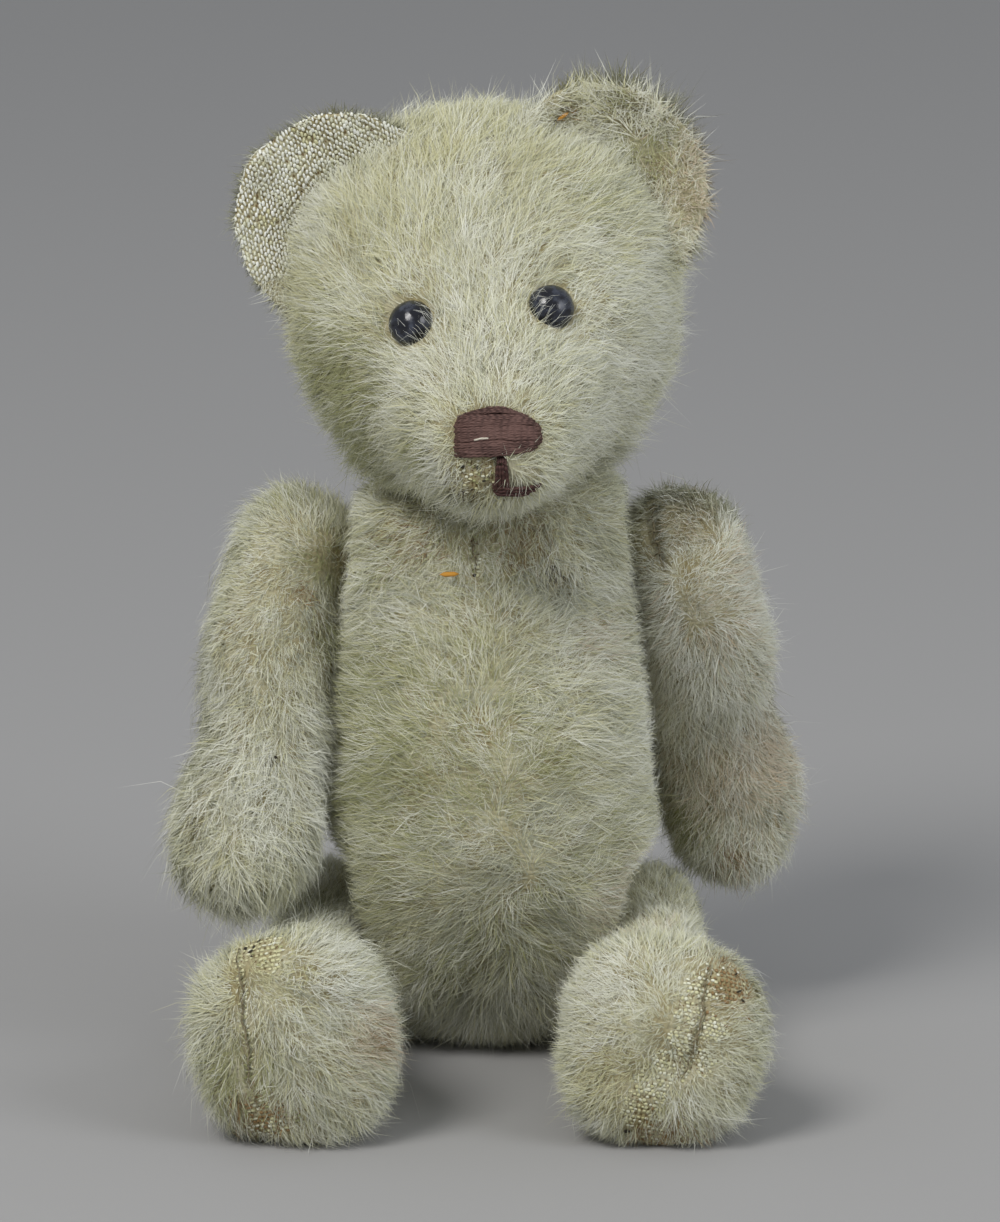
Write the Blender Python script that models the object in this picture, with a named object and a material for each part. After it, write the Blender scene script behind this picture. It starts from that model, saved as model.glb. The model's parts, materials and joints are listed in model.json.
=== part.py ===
"""A small jointed teddy bear of worn mohair cloth, sitting with its legs out in front.

Metres, +Z up. The origin is the centre of the flat seat under the torso. The bear faces -Y, so its own
left is at +X. Head, arms and legs each turn on a disc joint: a cotter pin draws two card discs together
through the two covers. Each stuffed part is a cloth cover round a firm core of wood wool.
"""

import math

import bmesh
import bpy
from mathutils import Matrix, Vector

# Cloth, gaps and fineness
COVER = 0.0012  # mohair cloth with its nap pressed flat
GAP = 0.0003  # between pieces that touch
OUTER_SIDES = 20
OUTER_STEPS = 2
INNER_SIDES = 16
INNER_STEPS = 1
FULLNESS = 2.5  # 2 is an ellipse, and more is squarer

# Torso: height, half width, half depth, and how far the middle lies off the axis in x and y
TORSO = (
    (-0.0030, 0.0, 0.0, 0.0, 0.0008),
    (0.0008, 0.0100, 0.0099, 0.0, 0.0004),
    (0.0040, 0.0134, 0.0130, 0.0, -0.0008),
    (0.0092, 0.0161, 0.0155, 0.0, -0.0026),
    (0.0200, 0.0178, 0.0176, 0.0003, -0.0042),
    (0.0330, 0.0177, 0.0170, 0.0004, -0.0044),
    (0.0460, 0.0171, 0.0146, 0.0, -0.0036),
    (0.0540, 0.0168, 0.0130, 0.0, -0.0032),
    (0.0605, 0.0142, 0.0108, 0.0004, -0.0030),
    (0.0645, 0.0080, 0.0066, 0.0006, -0.0030),
    (0.0660, 0.0, 0.0, 0.0006, -0.0030),
)

# Neck joint, which the worn stuffing has let lean to the bear's right
NECK_DIP = 0.0028  # how far the joint draws the torso's top in
NECK_HEIGHT = TORSO[-1][0] - NECK_DIP
NECK_SIDE = 0.0015
NECK_BACK = -0.0030
NECK_LEAN = math.radians(6.5)
NECK_DISC = 0.0055

# Head: distance forward of the neck, half width, half height, middle in x, middle above the neck
HEAD = (
    (-0.0185, 0.0, 0.0, 0.0, 0.0200),
    (-0.0160, 0.0102, 0.0106, 0.0, 0.0190),
    (-0.0090, 0.0173, 0.0182, 0.0, 0.0189),
    (0.0010, 0.0206, 0.0211, 0.0, 0.0193),
    (0.0090, 0.0190, 0.0189, 0.0, 0.0181),
    (0.0150, 0.0151, 0.0150, 0.0, 0.0154),
    (0.0200, 0.0112, 0.0108, 0.0, 0.0120),
    (0.0250, 0.0083, 0.0078, 0.0, 0.0095),
    (0.0285, 0.0056, 0.0052, 0.0003, 0.0088),
    (0.0300, 0.0, 0.0, 0.0004, 0.0086),
)
HEAD_FULLNESS = 2.15
JOWL_TAPER = 0.07  # the head is this share wider at the crown, and narrower at the jaw

# Ears: cupped discs sewn across the top corners of the head
EAR_RADIUS = 0.0116
EAR_THICKNESS = 0.0024
EAR_CUP = 0.0034
EAR_SIDE = 0.0138
EAR_HEIGHT = 0.0308
EAR_FORWARD = 0.0058
EAR_RINGS = 5
EAR_SIDES = 24

# Eyes: glass domes, each on a wire loop drawn into the head
EYE_RADIUS = 0.00245
EYE_DOME = 0.0026
EYE_SEAT = 0.0005
EYE_SIDE = 0.0075
EYE_HEIGHT = 0.0213
EYE_SHANK = 0.00040
EYE_SHANK_LENGTH = 0.0042
EYE_LOOP = 0.0010
EYE_SIDES = 16

# Nose and mouth: thread laid over the muzzle
THREAD = 0.0008
NOSE_WIDTH = 0.0088
NOSE_TALL = 0.0050
NOSE_SIDE = 0.0005
NOSE_HEIGHT = 0.0104
MOUTH_DROP = 0.0034
MOUTH_REACH = 0.0046
MOUTH_LINE = 0.0011

# Shoulders
SHOULDER_DROP = 0.0124  # below the neck joint
SHOULDER_HEIGHT = NECK_HEIGHT - SHOULDER_DROP
SHOULDER_DIMPLE = 0.0014  # how far the joint draws the torso in
SHOULDER_LEAN = math.radians(6.0)
SHOULDER_DISC = 0.0038
ARM_SWING = {"left": math.radians(-22.0), "right": math.radians(22.0)}  # forward of hanging straight

# Arm: distance along, half width in the plane of swing, half thickness, and where the middle lies
ARM = (
    (-0.0098, 0.0, 0.0, 0.0, 0.0056),
    (-0.0066, 0.0071, 0.0055, 0.0, 0.0057),
    (0.0, 0.0092, 0.0066, 0.0, 0.0062),
    (0.0090, 0.0086, 0.0071, 0.0, 0.0071),
    (0.0180, 0.0074, 0.0065, -0.0004, 0.0067),
    (0.0262, 0.0072, 0.0076, 0.0008, 0.0079),
    (0.0315, 0.0066, 0.0069, 0.0028, 0.0083),
    (0.0349, 0.0044, 0.0046, 0.0046, 0.0085),
    (0.0365, 0.0, 0.0, 0.0052, 0.0085),
)

# Hips
HIP_HEIGHT = 0.0104
HIP_DIMPLE = 0.0034
HIP_BACK = 0.0010
HIP_LEAN = {"left": math.radians(10.0), "right": math.radians(5.0)}
HIP_SPLAY = {"left": math.radians(0.0), "right": math.radians(3.5)}
HIP_DISC = 0.0039
BELLY_START = 0.0203  # above this height the torso fills out over the legs
BELLY_FULL = 0.0290
BELLY_RELIEF = 0.0050

# Leg: distance along, half height, half thickness, and where the middle lies
LEG = (
    (-0.0086, 0.0, 0.0, 0.0, 0.0044),
    (-0.0058, 0.0063, 0.0043, 0.0, 0.0045),
    (0.0, 0.0080, 0.0050, 0.0, 0.0046),
    (0.0100, 0.0074, 0.0052, -0.0003, 0.0047),
    (0.0200, 0.0068, 0.0055, -0.0008, 0.0047),
    (0.0290, 0.0074, 0.0070, -0.0008, 0.0048),
    (0.0360, 0.0098, 0.0093, 0.0004, 0.0050),
    (0.0415, 0.0112, 0.0102, 0.0012, 0.0050),
    (0.0455, 0.0100, 0.0090, 0.0012, 0.0050),
    (0.0475, 0.0054, 0.0048, 0.0010, 0.0050),
    (0.0479, 0.0, 0.0, 0.0010, 0.0050),
)
FOOT_START = 0.0220  # past this the foot swells inward over the joint's plane
FOOT_FULL = 0.0340
FOOT_RELIEF = 0.0080

# Joint hardware
DISC_THICKNESS = 0.0012
WASHER_THICKNESS = 0.0005
WASHER_RADIUS = 0.0027
WIRE = 0.00036  # half the thickness of the cotter pin's wire
SHANK_HALF = 0.00042
EYELET = 0.0010
CURL = 0.0011
PIN_HOLE = SHANK_HALF + WIRE + GAP
HARDWARE_SIDES = 14
CURL_POINTS = 7
EYELET_POINTS = 9

MATERIALS = {
    "mohair": ((0.60, 0.57, 0.43, 1.0), 0.95, 0.0),
    "wood_wool": ((0.55, 0.42, 0.22, 1.0), 0.95, 0.0),
    "card": ((0.38, 0.28, 0.17, 1.0), 0.85, 0.0),
    "steel": ((0.45, 0.44, 0.42, 1.0), 0.45, 1.0),
    "black_glass": ((0.012, 0.012, 0.016, 1.0), 0.08, 0.0),
    "brown_thread": ((0.13, 0.055, 0.045, 1.0), 0.75, 0.0),
}


def material(name):
    """The named finish, made the first time that it is asked for."""
    found = bpy.data.materials.get(name)
    if found:
        return found
    colour, roughness, metallic = MATERIALS[name]
    made = bpy.data.materials.new(name)
    made.use_nodes = True
    made.diffuse_color = colour
    shader = made.node_tree.nodes["Principled BSDF"]
    shader.inputs["Base Color"].default_value = colour
    shader.inputs["Roughness"].default_value = roughness
    shader.inputs["Metallic"].default_value = metallic
    return made


# Smooth forms
def row_at(rows, t):
    """The row of sizes at t on a smooth curve through the rows, which closes round at both ends."""
    last = len(rows) - 1
    start = min(int(t), last - 1)
    u = t - start

    def row(index):
        if index < 0:
            s, a, b, ca, cb = rows[1]
            return (s, -a, -b, ca, cb)
        if index > last:
            s, a, b, ca, cb = rows[last - 1]
            return (s, -a, -b, ca, cb)
        return rows[index]

    def curve(p0, p1, p2, p3):
        slope, bow, twist = p2 - p0, 2 * p0 - 5 * p1 + 4 * p2 - p3, 3 * (p1 - p2) + p3 - p0
        return 0.5 * (2 * p1 + slope * u + bow * u**2 + twist * u**3)

    return [curve(*sizes) for sizes in zip(row(start - 1), row(start), row(start + 1), row(start + 2))]


def size_at(rows, s, column):
    """One size of a form at the distance s along it."""
    low, high = 0.0, len(rows) - 1.0
    for _ in range(40):
        middle = (low + high) / 2
        if row_at(rows, middle)[0] < s:
            low = middle
        else:
            high = middle
    return row_at(rows, low)[column]


def blend(start, end, value):
    """Rises smoothly from 0 at start to 1 at end."""
    t = min(max((value - start) / (end - start), 0.0), 1.0)
    return t * t * (3 - 2 * t)


def section(row, sides, fullness, taper=0.0):
    """The points of one closed section, in the form's own axes."""
    s, a, b, ca, cb = row
    points = []
    for k in range(sides):
        angle = 2 * math.pi * (k + 0.5) / sides
        c, d = math.cos(angle), math.sin(angle)
        across = math.copysign(abs(c) ** (2 / fullness), c)
        along = math.copysign(abs(d) ** (2 / fullness), d)
        points.append(Vector((ca + a * across * (1 + taper * along), cb + b * along, s)))
    return points


def form(rows, inset=0.0, fullness=FULLNESS, taper=0.0, sides=OUTER_SIDES, steps=OUTER_STEPS):
    """A closed bmesh through the rows, drawn in by inset on every side."""
    low, high = rows[0][0], rows[-1][0]
    middle, shrink = (low + high) / 2, 1 - 2 * inset / (high - low)
    bm = bmesh.new()
    rings = []
    count = (len(rows) - 1) * steps
    for k in range(count + 1):
        s, a, b, ca, cb = row_at(rows, k / steps)
        s = middle + (s - middle) * shrink
        if k in (0, count):
            rings.append([bm.verts.new((ca, cb, s))])
            continue
        row = (s, max(a - inset, GAP), max(b - inset, GAP), ca, cb)
        rings.append([bm.verts.new(p) for p in section(row, sides, fullness, taper)])
    for first, second in zip(rings, rings[1:]):
        for k in range(sides):
            after = (k + 1) % sides
            corners = [first[k % len(first)], first[after % len(first)]]
            corners += [second[after % len(second)], second[k % len(second)]]
            bm.faces.new(list(dict.fromkeys(corners)))
    bmesh.ops.triangulate(bm, faces=bm.faces, quad_method="FIXED")
    return bm


def place(bm, frame):
    """Moves a form from its own axes into the world."""
    bmesh.ops.transform(bm, matrix=frame, verts=bm.verts)
    bmesh.ops.recalc_face_normals(bm, faces=bm.faces)
    return bm


def trim(bm, point, normal):
    """Cuts away all that lies past a plane, and closes the cut with one flat face."""
    parts = bm.verts[:] + bm.edges[:] + bm.faces[:]
    cut = bmesh.ops.bisect_plane(bm, geom=parts, plane_co=point, plane_no=normal, clear_outer=True)
    edges = [e for e in cut["geom_cut"] if isinstance(e, bmesh.types.BMEdge)]
    if edges:
        bmesh.ops.edgeloop_fill(bm, edges=edges)
    bmesh.ops.recalc_face_normals(bm, faces=bm.faces)


def turned(profile, frame, sides=HARDWARE_SIDES):
    """A closed bmesh turned about the frame's z axis. The profile's points are (radius, height)."""
    bm = bmesh.new()
    rings = []
    for radius, height in profile:
        if radius == 0:
            rings.append([bm.verts.new((0, 0, height))])
            continue
        angles = [2 * math.pi * k / sides for k in range(sides)]
        rings.append([bm.verts.new((radius * math.cos(a), radius * math.sin(a), height)) for a in angles])
    for first, second in zip(rings, rings[1:]):
        if len(first) == 1 and len(second) == 1:
            continue
        for k in range(sides):
            after = (k + 1) % sides
            corners = [first[k % len(first)], first[after % len(first)]]
            corners += [second[after % len(second)], second[k % len(second)]]
            bm.faces.new(list(dict.fromkeys(corners)))
    for ring in (rings[0], rings[-1]):
        if len(ring) > 1 and profile[0] != profile[-1]:
            bm.faces.new(ring)
    bmesh.ops.remove_doubles(bm, verts=bm.verts, dist=1e-7)
    bmesh.ops.recalc_face_normals(bm, faces=bm.faces)
    bmesh.ops.transform(bm, matrix=frame, verts=bm.verts)
    return bm


# Objects
def add(name, bm, finish, carrier=None):
    """Makes a named object from a bmesh in world space, riding on its carrier."""
    mesh = bpy.data.meshes.new(name)
    bm.to_mesh(mesh)
    bm.free()
    mesh.materials.append(material(finish))
    obj = bpy.data.objects.new(name, mesh)
    bpy.context.scene.collection.objects.link(obj)
    mesh.shade_smooth()
    mesh.set_sharp_from_angle(angle=math.radians(40))
    if carrier:
        mesh.transform(carrier.matrix_basis.inverted())
        obj.parent = carrier
    return obj


def helper(name, bm):
    """A cutter or guide, which is no part of the bear."""
    obj = add(name, bm, "mohair")
    obj.hide_render = True
    obj.display_type = "WIRE"
    return obj


def shape_with(obj, other, operation="DIFFERENCE"):
    """Cuts, keeps or joins another closed shape."""
    modifier = obj.modifiers.new(other.name, "BOOLEAN")
    modifier.operation = operation
    modifier.solver = "EXACT"
    modifier.object = other


def empty(name, frame):
    """A carrier on a joint's axis, for the pieces that turn about it."""
    obj = bpy.data.objects.new(name, None)
    obj.matrix_basis = frame
    obj.empty_display_size = 0.01
    bpy.context.scene.collection.objects.link(obj)
    return obj


def frame_of(origin, x_axis, y_axis, z_axis):
    """A placing matrix from its origin and axes."""
    columns = [Vector(v).to_4d() for v in (x_axis, y_axis, z_axis)]
    for column in columns:
        column.w = 0.0
    matrix = Matrix((*columns, Vector(origin).to_4d()))
    return matrix.transposed()


class Joint:
    """A disc joint: where its plane crosses its axis, and the way from the torso to the limb."""

    def __init__(self, name, point, normal, up, disc):
        self.name = name
        self.point = Vector(point)
        self.normal = Vector(normal).normalized()
        self.disc = disc
        side = Vector(up).cross(self.normal).normalized()
        self.frame = frame_of(self.point, side, self.normal.cross(side), self.normal)

    def plane(self, distance):
        """A point on the axis, this far towards the limb."""
        return self.point + self.normal * distance


def sign_of(side):
    return 1 if side == "left" else -1


def neck_joint():
    up = Vector((-math.sin(NECK_LEAN), 0, math.cos(NECK_LEAN)))
    return Joint("neck", (NECK_SIDE, NECK_BACK, NECK_HEIGHT), up, (0, 1, 0), NECK_DISC)


def shoulder_joint(side):
    sign = sign_of(side)
    reach = size_at(TORSO, SHOULDER_HEIGHT, 1) - SHOULDER_DIMPLE
    middle = size_at(TORSO, SHOULDER_HEIGHT, 3)
    back = size_at(TORSO, SHOULDER_HEIGHT, 4)
    normal = (sign * math.cos(SHOULDER_LEAN), 0, math.sin(SHOULDER_LEAN))
    point = (middle + sign * reach, back, SHOULDER_HEIGHT)
    return Joint(f"shoulder_{side}", point, normal, (0, 0, 1), SHOULDER_DISC)


def hip_joint(side):
    sign = sign_of(side)
    reach = size_at(TORSO, HIP_HEIGHT, 1) - HIP_DIMPLE
    middle = size_at(TORSO, HIP_HEIGHT, 3)
    back = size_at(TORSO, HIP_HEIGHT, 4) + HIP_BACK
    level = math.cos(HIP_LEAN[side])
    outward, backward = level * math.cos(HIP_SPLAY[side]), level * math.sin(HIP_SPLAY[side])
    normal = (sign * outward, backward, -math.sin(HIP_LEAN[side]))
    return Joint(f"hip_{side}", (middle + sign * reach, back, HIP_HEIGHT), normal, (0, 0, 1), HIP_DISC)


NECK = neck_joint()
SHOULDERS = {side: shoulder_joint(side) for side in ("left", "right")}
HIPS = {side: hip_joint(side) for side in ("left", "right")}
JOINTS = [NECK, *SHOULDERS.values(), *HIPS.values()]


# Joint hardware, as distances from the plane between the two covers
DISC_FACE = GAP / 2 + COVER + GAP
DISC_BACK = DISC_FACE + DISC_THICKNESS
WASHER_FACE = DISC_BACK + GAP
WASHER_BACK = WASHER_FACE + WASHER_THICKNESS
WIRE_REST = WASHER_BACK + GAP + WIRE
POCKET_DEPTH = WIRE_REST + 2 * EYELET + WIRE + GAP
POCKET_RADIUS = SHANK_HALF + 2 * CURL + WIRE + GAP
STUFFING_INSET = COVER + GAP


def ring_profile(inner, outer, low, high):
    """A flat ring's section, closed on itself."""
    return [(inner, low), (outer, low), (outer, high), (inner, high), (inner, low)]


def add_disc_and_washer(joint, towards, label, carrier):
    """One side's card disc and steel washer. Towards is 1 on the limb's side and -1 on the torso's."""
    disc = sorted((towards * DISC_FACE, towards * DISC_BACK))
    washer = sorted((towards * WASHER_FACE, towards * WASHER_BACK))
    name = f"{joint.name}_{label}"
    add(f"{name}_disc", turned(ring_profile(PIN_HOLE, joint.disc, *disc), joint.frame), "card", carrier)
    profile = ring_profile(PIN_HOLE, WASHER_RADIUS, *washer)
    add(f"{name}_washer", turned(profile, joint.frame), "steel", carrier)


def pin_route():
    """The cotter pin's wire: one curled leg, the eyelet on the limb's side, and the other curled leg."""
    route = []
    for k in range(CURL_POINTS):
        angle = math.pi * k / (CURL_POINTS - 1)
        route.append((SHANK_HALF + CURL + CURL * math.cos(angle), -WIRE_REST - CURL * math.sin(angle)))
    opening = math.asin(SHANK_HALF / EYELET)
    middle = WIRE_REST + EYELET
    for k in range(EYELET_POINTS):
        angle = opening + (2 * math.pi - 2 * opening) * k / (EYELET_POINTS - 1)
        route.append((EYELET * math.sin(angle), middle - EYELET * math.cos(angle)))
    route += [(-x, z) for x, z in reversed(route[:CURL_POINTS])]
    return route


def add_cotter_pin(joint):
    """The wire pin, which stays with the torso's stuffing."""
    curve = bpy.data.curves.new(f"{joint.name}_cotter_pin", "CURVE")
    curve.dimensions = "3D"
    curve.bevel_depth = WIRE
    curve.bevel_resolution = 1
    curve.use_fill_caps = True
    route = pin_route()
    spline = curve.splines.new("POLY")
    spline.points.add(len(route) - 1)
    for point, (x, z) in zip(spline.points, route):
        point.co = (x, 0, z, 1)
    curve.materials.append(material("steel"))
    obj = bpy.data.objects.new(curve.name, curve)
    obj.matrix_basis = joint.frame
    bpy.context.scene.collection.objects.link(obj)


def pin_hole(joint, towards):
    """The hole in one cover that the pin goes through."""
    ends = sorted((-towards * COVER, towards * (DISC_FACE + COVER)))
    profile = [(0, ends[0]), (PIN_HOLE, ends[0]), (PIN_HOLE, ends[1]), (0, ends[1])]
    return helper(f"{joint.name}_hole_{towards}", turned(profile, joint.frame))


def hardware_pocket(joint, towards):
    """The room in the stuffing for the disc, the washer and the pin's end."""
    radius = joint.disc + GAP
    levels = [(0, -COVER), (radius, -COVER), (radius, DISC_BACK + GAP)]
    levels += [(POCKET_RADIUS, DISC_BACK + GAP), (POCKET_RADIUS, POCKET_DEPTH), (0, POCKET_DEPTH)]
    profile = [(r, towards * z) for r, z in levels]
    return helper(f"{joint.name}_pocket_{towards}", turned(profile, joint.frame))


# Torso
def narrow_to_hips(bm, inset):
    """Presses the torso's lower sides flat against the legs, and lets the belly swell above them."""
    for joint in HIPS.values():
        face = joint.plane(-GAP / 2 - inset)
        side = joint.normal.x
        for vert in bm.verts:
            over = (vert.co - face).dot(joint.normal) / abs(side)
            over -= BELLY_RELIEF * blend(BELLY_START, BELLY_FULL, vert.co.z)
            if over > 0:
                vert.co.x -= math.copysign(over, side)


def torso_form(inset=0.0, **fineness):
    """The torso, flattened where the seat, the neck and the limbs press on it."""
    bm = form(TORSO, inset, **fineness)
    narrow_to_hips(bm, inset)
    trim(bm, (0, 0, inset), (0, 0, -1))
    for joint in (NECK, *SHOULDERS.values()):
        trim(bm, joint.plane(-GAP / 2 - inset), joint.normal)
    return bm


def build_torso():
    inner = {"sides": INNER_SIDES, "steps": INNER_STEPS}
    cover = add("torso_cover", torso_form(), "mohair")
    shape_with(cover, helper("torso_hollow", torso_form(COVER, **inner)))
    stuffing = add("torso_stuffing", torso_form(STUFFING_INSET, **inner), "wood_wool")
    for joint in JOINTS:
        shape_with(cover, pin_hole(joint, -1))
        shape_with(stuffing, hardware_pocket(joint, -1))
        add_disc_and_washer(joint, -1, "torso", None)
        add_cotter_pin(joint)


# Limbs
def limb_frame(joint, along, across):
    """Axes of an arm or leg: x in its plane, y out from the torso, z along it."""
    return frame_of(joint.point, across, joint.normal, along)


def arm_frame(side):
    joint, sign, swing = SHOULDERS[side], sign_of(side), ARM_SWING[side]
    down = Vector((sign * math.sin(SHOULDER_LEAN), 0, -math.cos(SHOULDER_LEAN)))
    front = Vector((0, -1, 0))
    along = down * math.cos(swing) + front * math.sin(swing)
    across = front * math.cos(swing) - down * math.sin(swing)
    return limb_frame(joint, along, across)


def leg_frame(side):
    joint = HIPS[side]
    front = Vector((0, -1, 0))
    along = (front - joint.normal * front.dot(joint.normal)).normalized()
    up = along.cross(joint.normal)
    return limb_frame(joint, along, up if up.z > 0 else -up)


def limb_form(rows, frame, relief, inset=0.0, **fineness):
    """An arm or leg, flat where it meets the torso and the floor."""
    bm = form(rows, inset, **fineness)
    for vert in bm.verts:
        face = GAP / 2 + inset - relief * blend(FOOT_START, FOOT_FULL, vert.co.z)
        vert.co.y = max(vert.co.y, face)
    place(bm, frame)
    trim(bm, (0, 0, inset), (0, 0, -1))
    return bm


def build_limb(name, rows, joint, frame, relief):
    inner = {"sides": INNER_SIDES, "steps": INNER_STEPS}
    carrier = empty(f"{joint.name}_joint", joint.frame)
    cover = add(f"{name}_cover", limb_form(rows, frame, relief), "mohair", carrier)
    shape_with(cover, helper(f"{name}_hollow", limb_form(rows, frame, relief, COVER, **inner)))
    shape_with(cover, pin_hole(joint, 1))
    body = limb_form(rows, frame, relief, STUFFING_INSET, **inner)
    stuffing = add(f"{name}_stuffing", body, "wood_wool", carrier)
    shape_with(stuffing, hardware_pocket(joint, 1))
    add_disc_and_washer(joint, 1, name.split("_")[0], carrier)


# Head
HEAD_FRAME = frame_of(
    NECK.point,
    (math.cos(NECK_LEAN), 0, math.sin(NECK_LEAN)),
    NECK.normal,
    (0, -1, 0),
)


def head_form(inset=0.0, **fineness):
    """The head, flat under the jaw where the neck joint draws it down."""
    bm = form(HEAD, inset, fullness=HEAD_FULLNESS, taper=JOWL_TAPER, **fineness)
    place(bm, HEAD_FRAME)
    trim(bm, NECK.plane(GAP / 2 + inset), -NECK.normal)
    return bm


def face_at(x, height):
    """How far forward the face's surface lies at a place on it."""
    low, high = 0.0, HEAD[-1][0]
    for _ in range(40):
        middle = (low + high) / 2
        a, b, ca, cb = (size_at(HEAD, middle, column) for column in (1, 2, 3, 4))
        along = (height - cb) / b
        across = (x - ca) / (a * (1 + JOWL_TAPER * along))
        if abs(across) ** HEAD_FULLNESS + abs(along) ** HEAD_FULLNESS < 1:
            low = middle
        else:
            high = middle
    return Vector((x, height, low))


def eye_frame(side):
    """The eye's place on the face, with z straight out of the head."""
    step = EYE_RADIUS / 2
    x = sign_of(side) * EYE_SIDE
    point = face_at(x, EYE_HEIGHT)
    slope_x = face_at(x + step, EYE_HEIGHT) - face_at(x - step, EYE_HEIGHT)
    slope_y = face_at(x, EYE_HEIGHT + step) - face_at(x, EYE_HEIGHT - step)
    out = slope_x.cross(slope_y).normalized()
    across = Vector((0, 1, 0)).cross(out).normalized()
    return HEAD_FRAME @ frame_of(point, across, out.cross(across), out)


def eye_profile():
    """A low glass dome with a plain back, and the stem that its loop is bent from."""
    edge = EYE_DOME * 0.15
    profile = [(0, -EYE_SHANK_LENGTH), (EYE_SHANK, -EYE_SHANK_LENGTH), (EYE_SHANK, -EYE_SEAT + GAP)]
    profile += [(EYE_RADIUS * 0.9, -EYE_SEAT + GAP), (EYE_RADIUS, edge)]
    for k in range(1, 5):
        angle = math.pi / 2 * k / 5
        profile.append((EYE_RADIUS * math.cos(angle), edge + (EYE_DOME - edge) * math.sin(angle)))
    return profile + [(0, EYE_DOME)]


def loop_ring(frame):
    """The wire loop at the end of an eye's stem."""
    middle = frame @ Matrix.Translation((0, 0, -EYE_SHANK_LENGTH - EYE_LOOP + EYE_SHANK))
    upright = middle @ Matrix.Rotation(math.pi / 2, 4, "X")
    points = [math.pi * 2 * k / 6 for k in range(7)]
    profile = [(EYE_LOOP + EYE_SHANK * math.cos(a), EYE_SHANK * math.sin(a)) for a in points[:-1]]
    return turned(profile + profile[:1], upright)


def build_eye(side, cover, stuffing, carrier):
    frame = eye_frame(side)
    name = f"eye_{side}"
    eye = add(name, turned(eye_profile(), frame, EYE_SIDES), "black_glass", carrier)
    shape_with(eye, helper(f"{name}_loop", loop_ring(frame)), "UNION")
    wide, depth = EYE_RADIUS + GAP, EYE_SHANK_LENGTH + 2 * EYE_LOOP + EYE_SHANK + GAP
    narrow = EYE_LOOP + EYE_SHANK + GAP
    levels = [(0, -depth), (narrow, -depth), (narrow, -EYE_SEAT), (wide, -EYE_SEAT)]
    socket = helper(f"{name}_socket", turned(levels + [(wide, EYE_DOME * 2), (0, EYE_DOME * 2)], frame))
    shape_with(cover, socket)
    shape_with(stuffing, socket)


def ear_disc(side):
    """A cupped disc with a rounded rim, hollow side forward."""
    sign = sign_of(side)
    bm = bmesh.new()
    layers = []
    for face in (1, -1):
        rings = []
        for ring in range(EAR_RINGS + 1):
            share = math.sin(math.pi / 2 * ring / EAR_RINGS)
            half = EAR_THICKNESS / 2 * math.sqrt(max(1 - share**4, 0))
            depth = EAR_FORWARD - EAR_CUP * (1 - share**2) + face * half
            count = EAR_SIDES if ring else 1
            if ring == EAR_RINGS and face == -1:
                rings.append(layers[0][-1])
                continue
            angles = [2 * math.pi * k / EAR_SIDES for k in range(count)]
            radius = EAR_RADIUS * share
            middle_x = sign * EAR_SIDE
            places = [(middle_x + radius * math.cos(a), EAR_HEIGHT + radius * math.sin(a)) for a in angles]
            rings.append([bm.verts.new(HEAD_FRAME @ Vector((x, z, depth))) for x, z in places])
        layers.append(rings)
    for rings in layers:
        for first, second in zip(rings, rings[1:]):
            for k in range(EAR_SIDES):
                after = (k + 1) % EAR_SIDES
                corners = [first[k % len(first)], first[after % len(first)], second[after], second[k]]
                bm.faces.new(list(dict.fromkeys(corners)))
    bmesh.ops.recalc_face_normals(bm, faces=bm.faces)
    return bm


def prism(outline, near, far):
    """An upright outline on the face, carried from near to far in front of the neck."""
    bm = bmesh.new()
    front = [bm.verts.new(HEAD_FRAME @ Vector((x, z, far))) for x, z in outline]
    back = [bm.verts.new(HEAD_FRAME @ Vector((x, z, near))) for x, z in outline]
    bm.faces.new(front)
    bm.faces.new(back)
    for k in range(len(outline)):
        after = (k + 1) % len(outline)
        bm.faces.new((front[k], front[after], back[after], back[k]))
    bmesh.ops.recalc_face_normals(bm, faces=bm.faces)
    return bm


def nose_outline():
    """A low arch: straight below and at the right, rounded above."""
    half = NOSE_WIDTH / 2
    low = NOSE_HEIGHT - NOSE_TALL / 2
    points = [(NOSE_SIDE - half, low), (NOSE_SIDE + half * 0.92, low + NOSE_TALL * 0.1)]
    for k in range(9):
        angle = math.pi * k / 8
        rise = NOSE_TALL * (0.45 + 0.55 * math.sin(angle) ** 0.8)
        points.append((NOSE_SIDE + half * math.cos(angle), low + rise))
    return points


def mouth_outline():
    """What is left of the mouth: a stitch down from the nose and one to the bear's left."""
    top = NOSE_HEIGHT - NOSE_TALL / 2 - GAP
    low = top - MOUTH_DROP
    half = MOUTH_LINE / 2
    left, right = NOSE_SIDE - half, NOSE_SIDE + half
    end = NOSE_SIDE + MOUTH_REACH
    upright = [(left, top), (left, low)]
    return upright + [(end, low + half), (end, low + 2 * half), (right, low + 2 * half), (right, top)]


def add_thread(name, outline, carrier, over, under):
    """A patch of thread that lies on the muzzle and follows it."""
    patch = add(name, prism(outline, HEAD[-1][0] / 2, HEAD[-1][0] + COVER * 2), "brown_thread", carrier)
    shape_with(patch, over, "INTERSECT")
    shape_with(patch, under)


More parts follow.
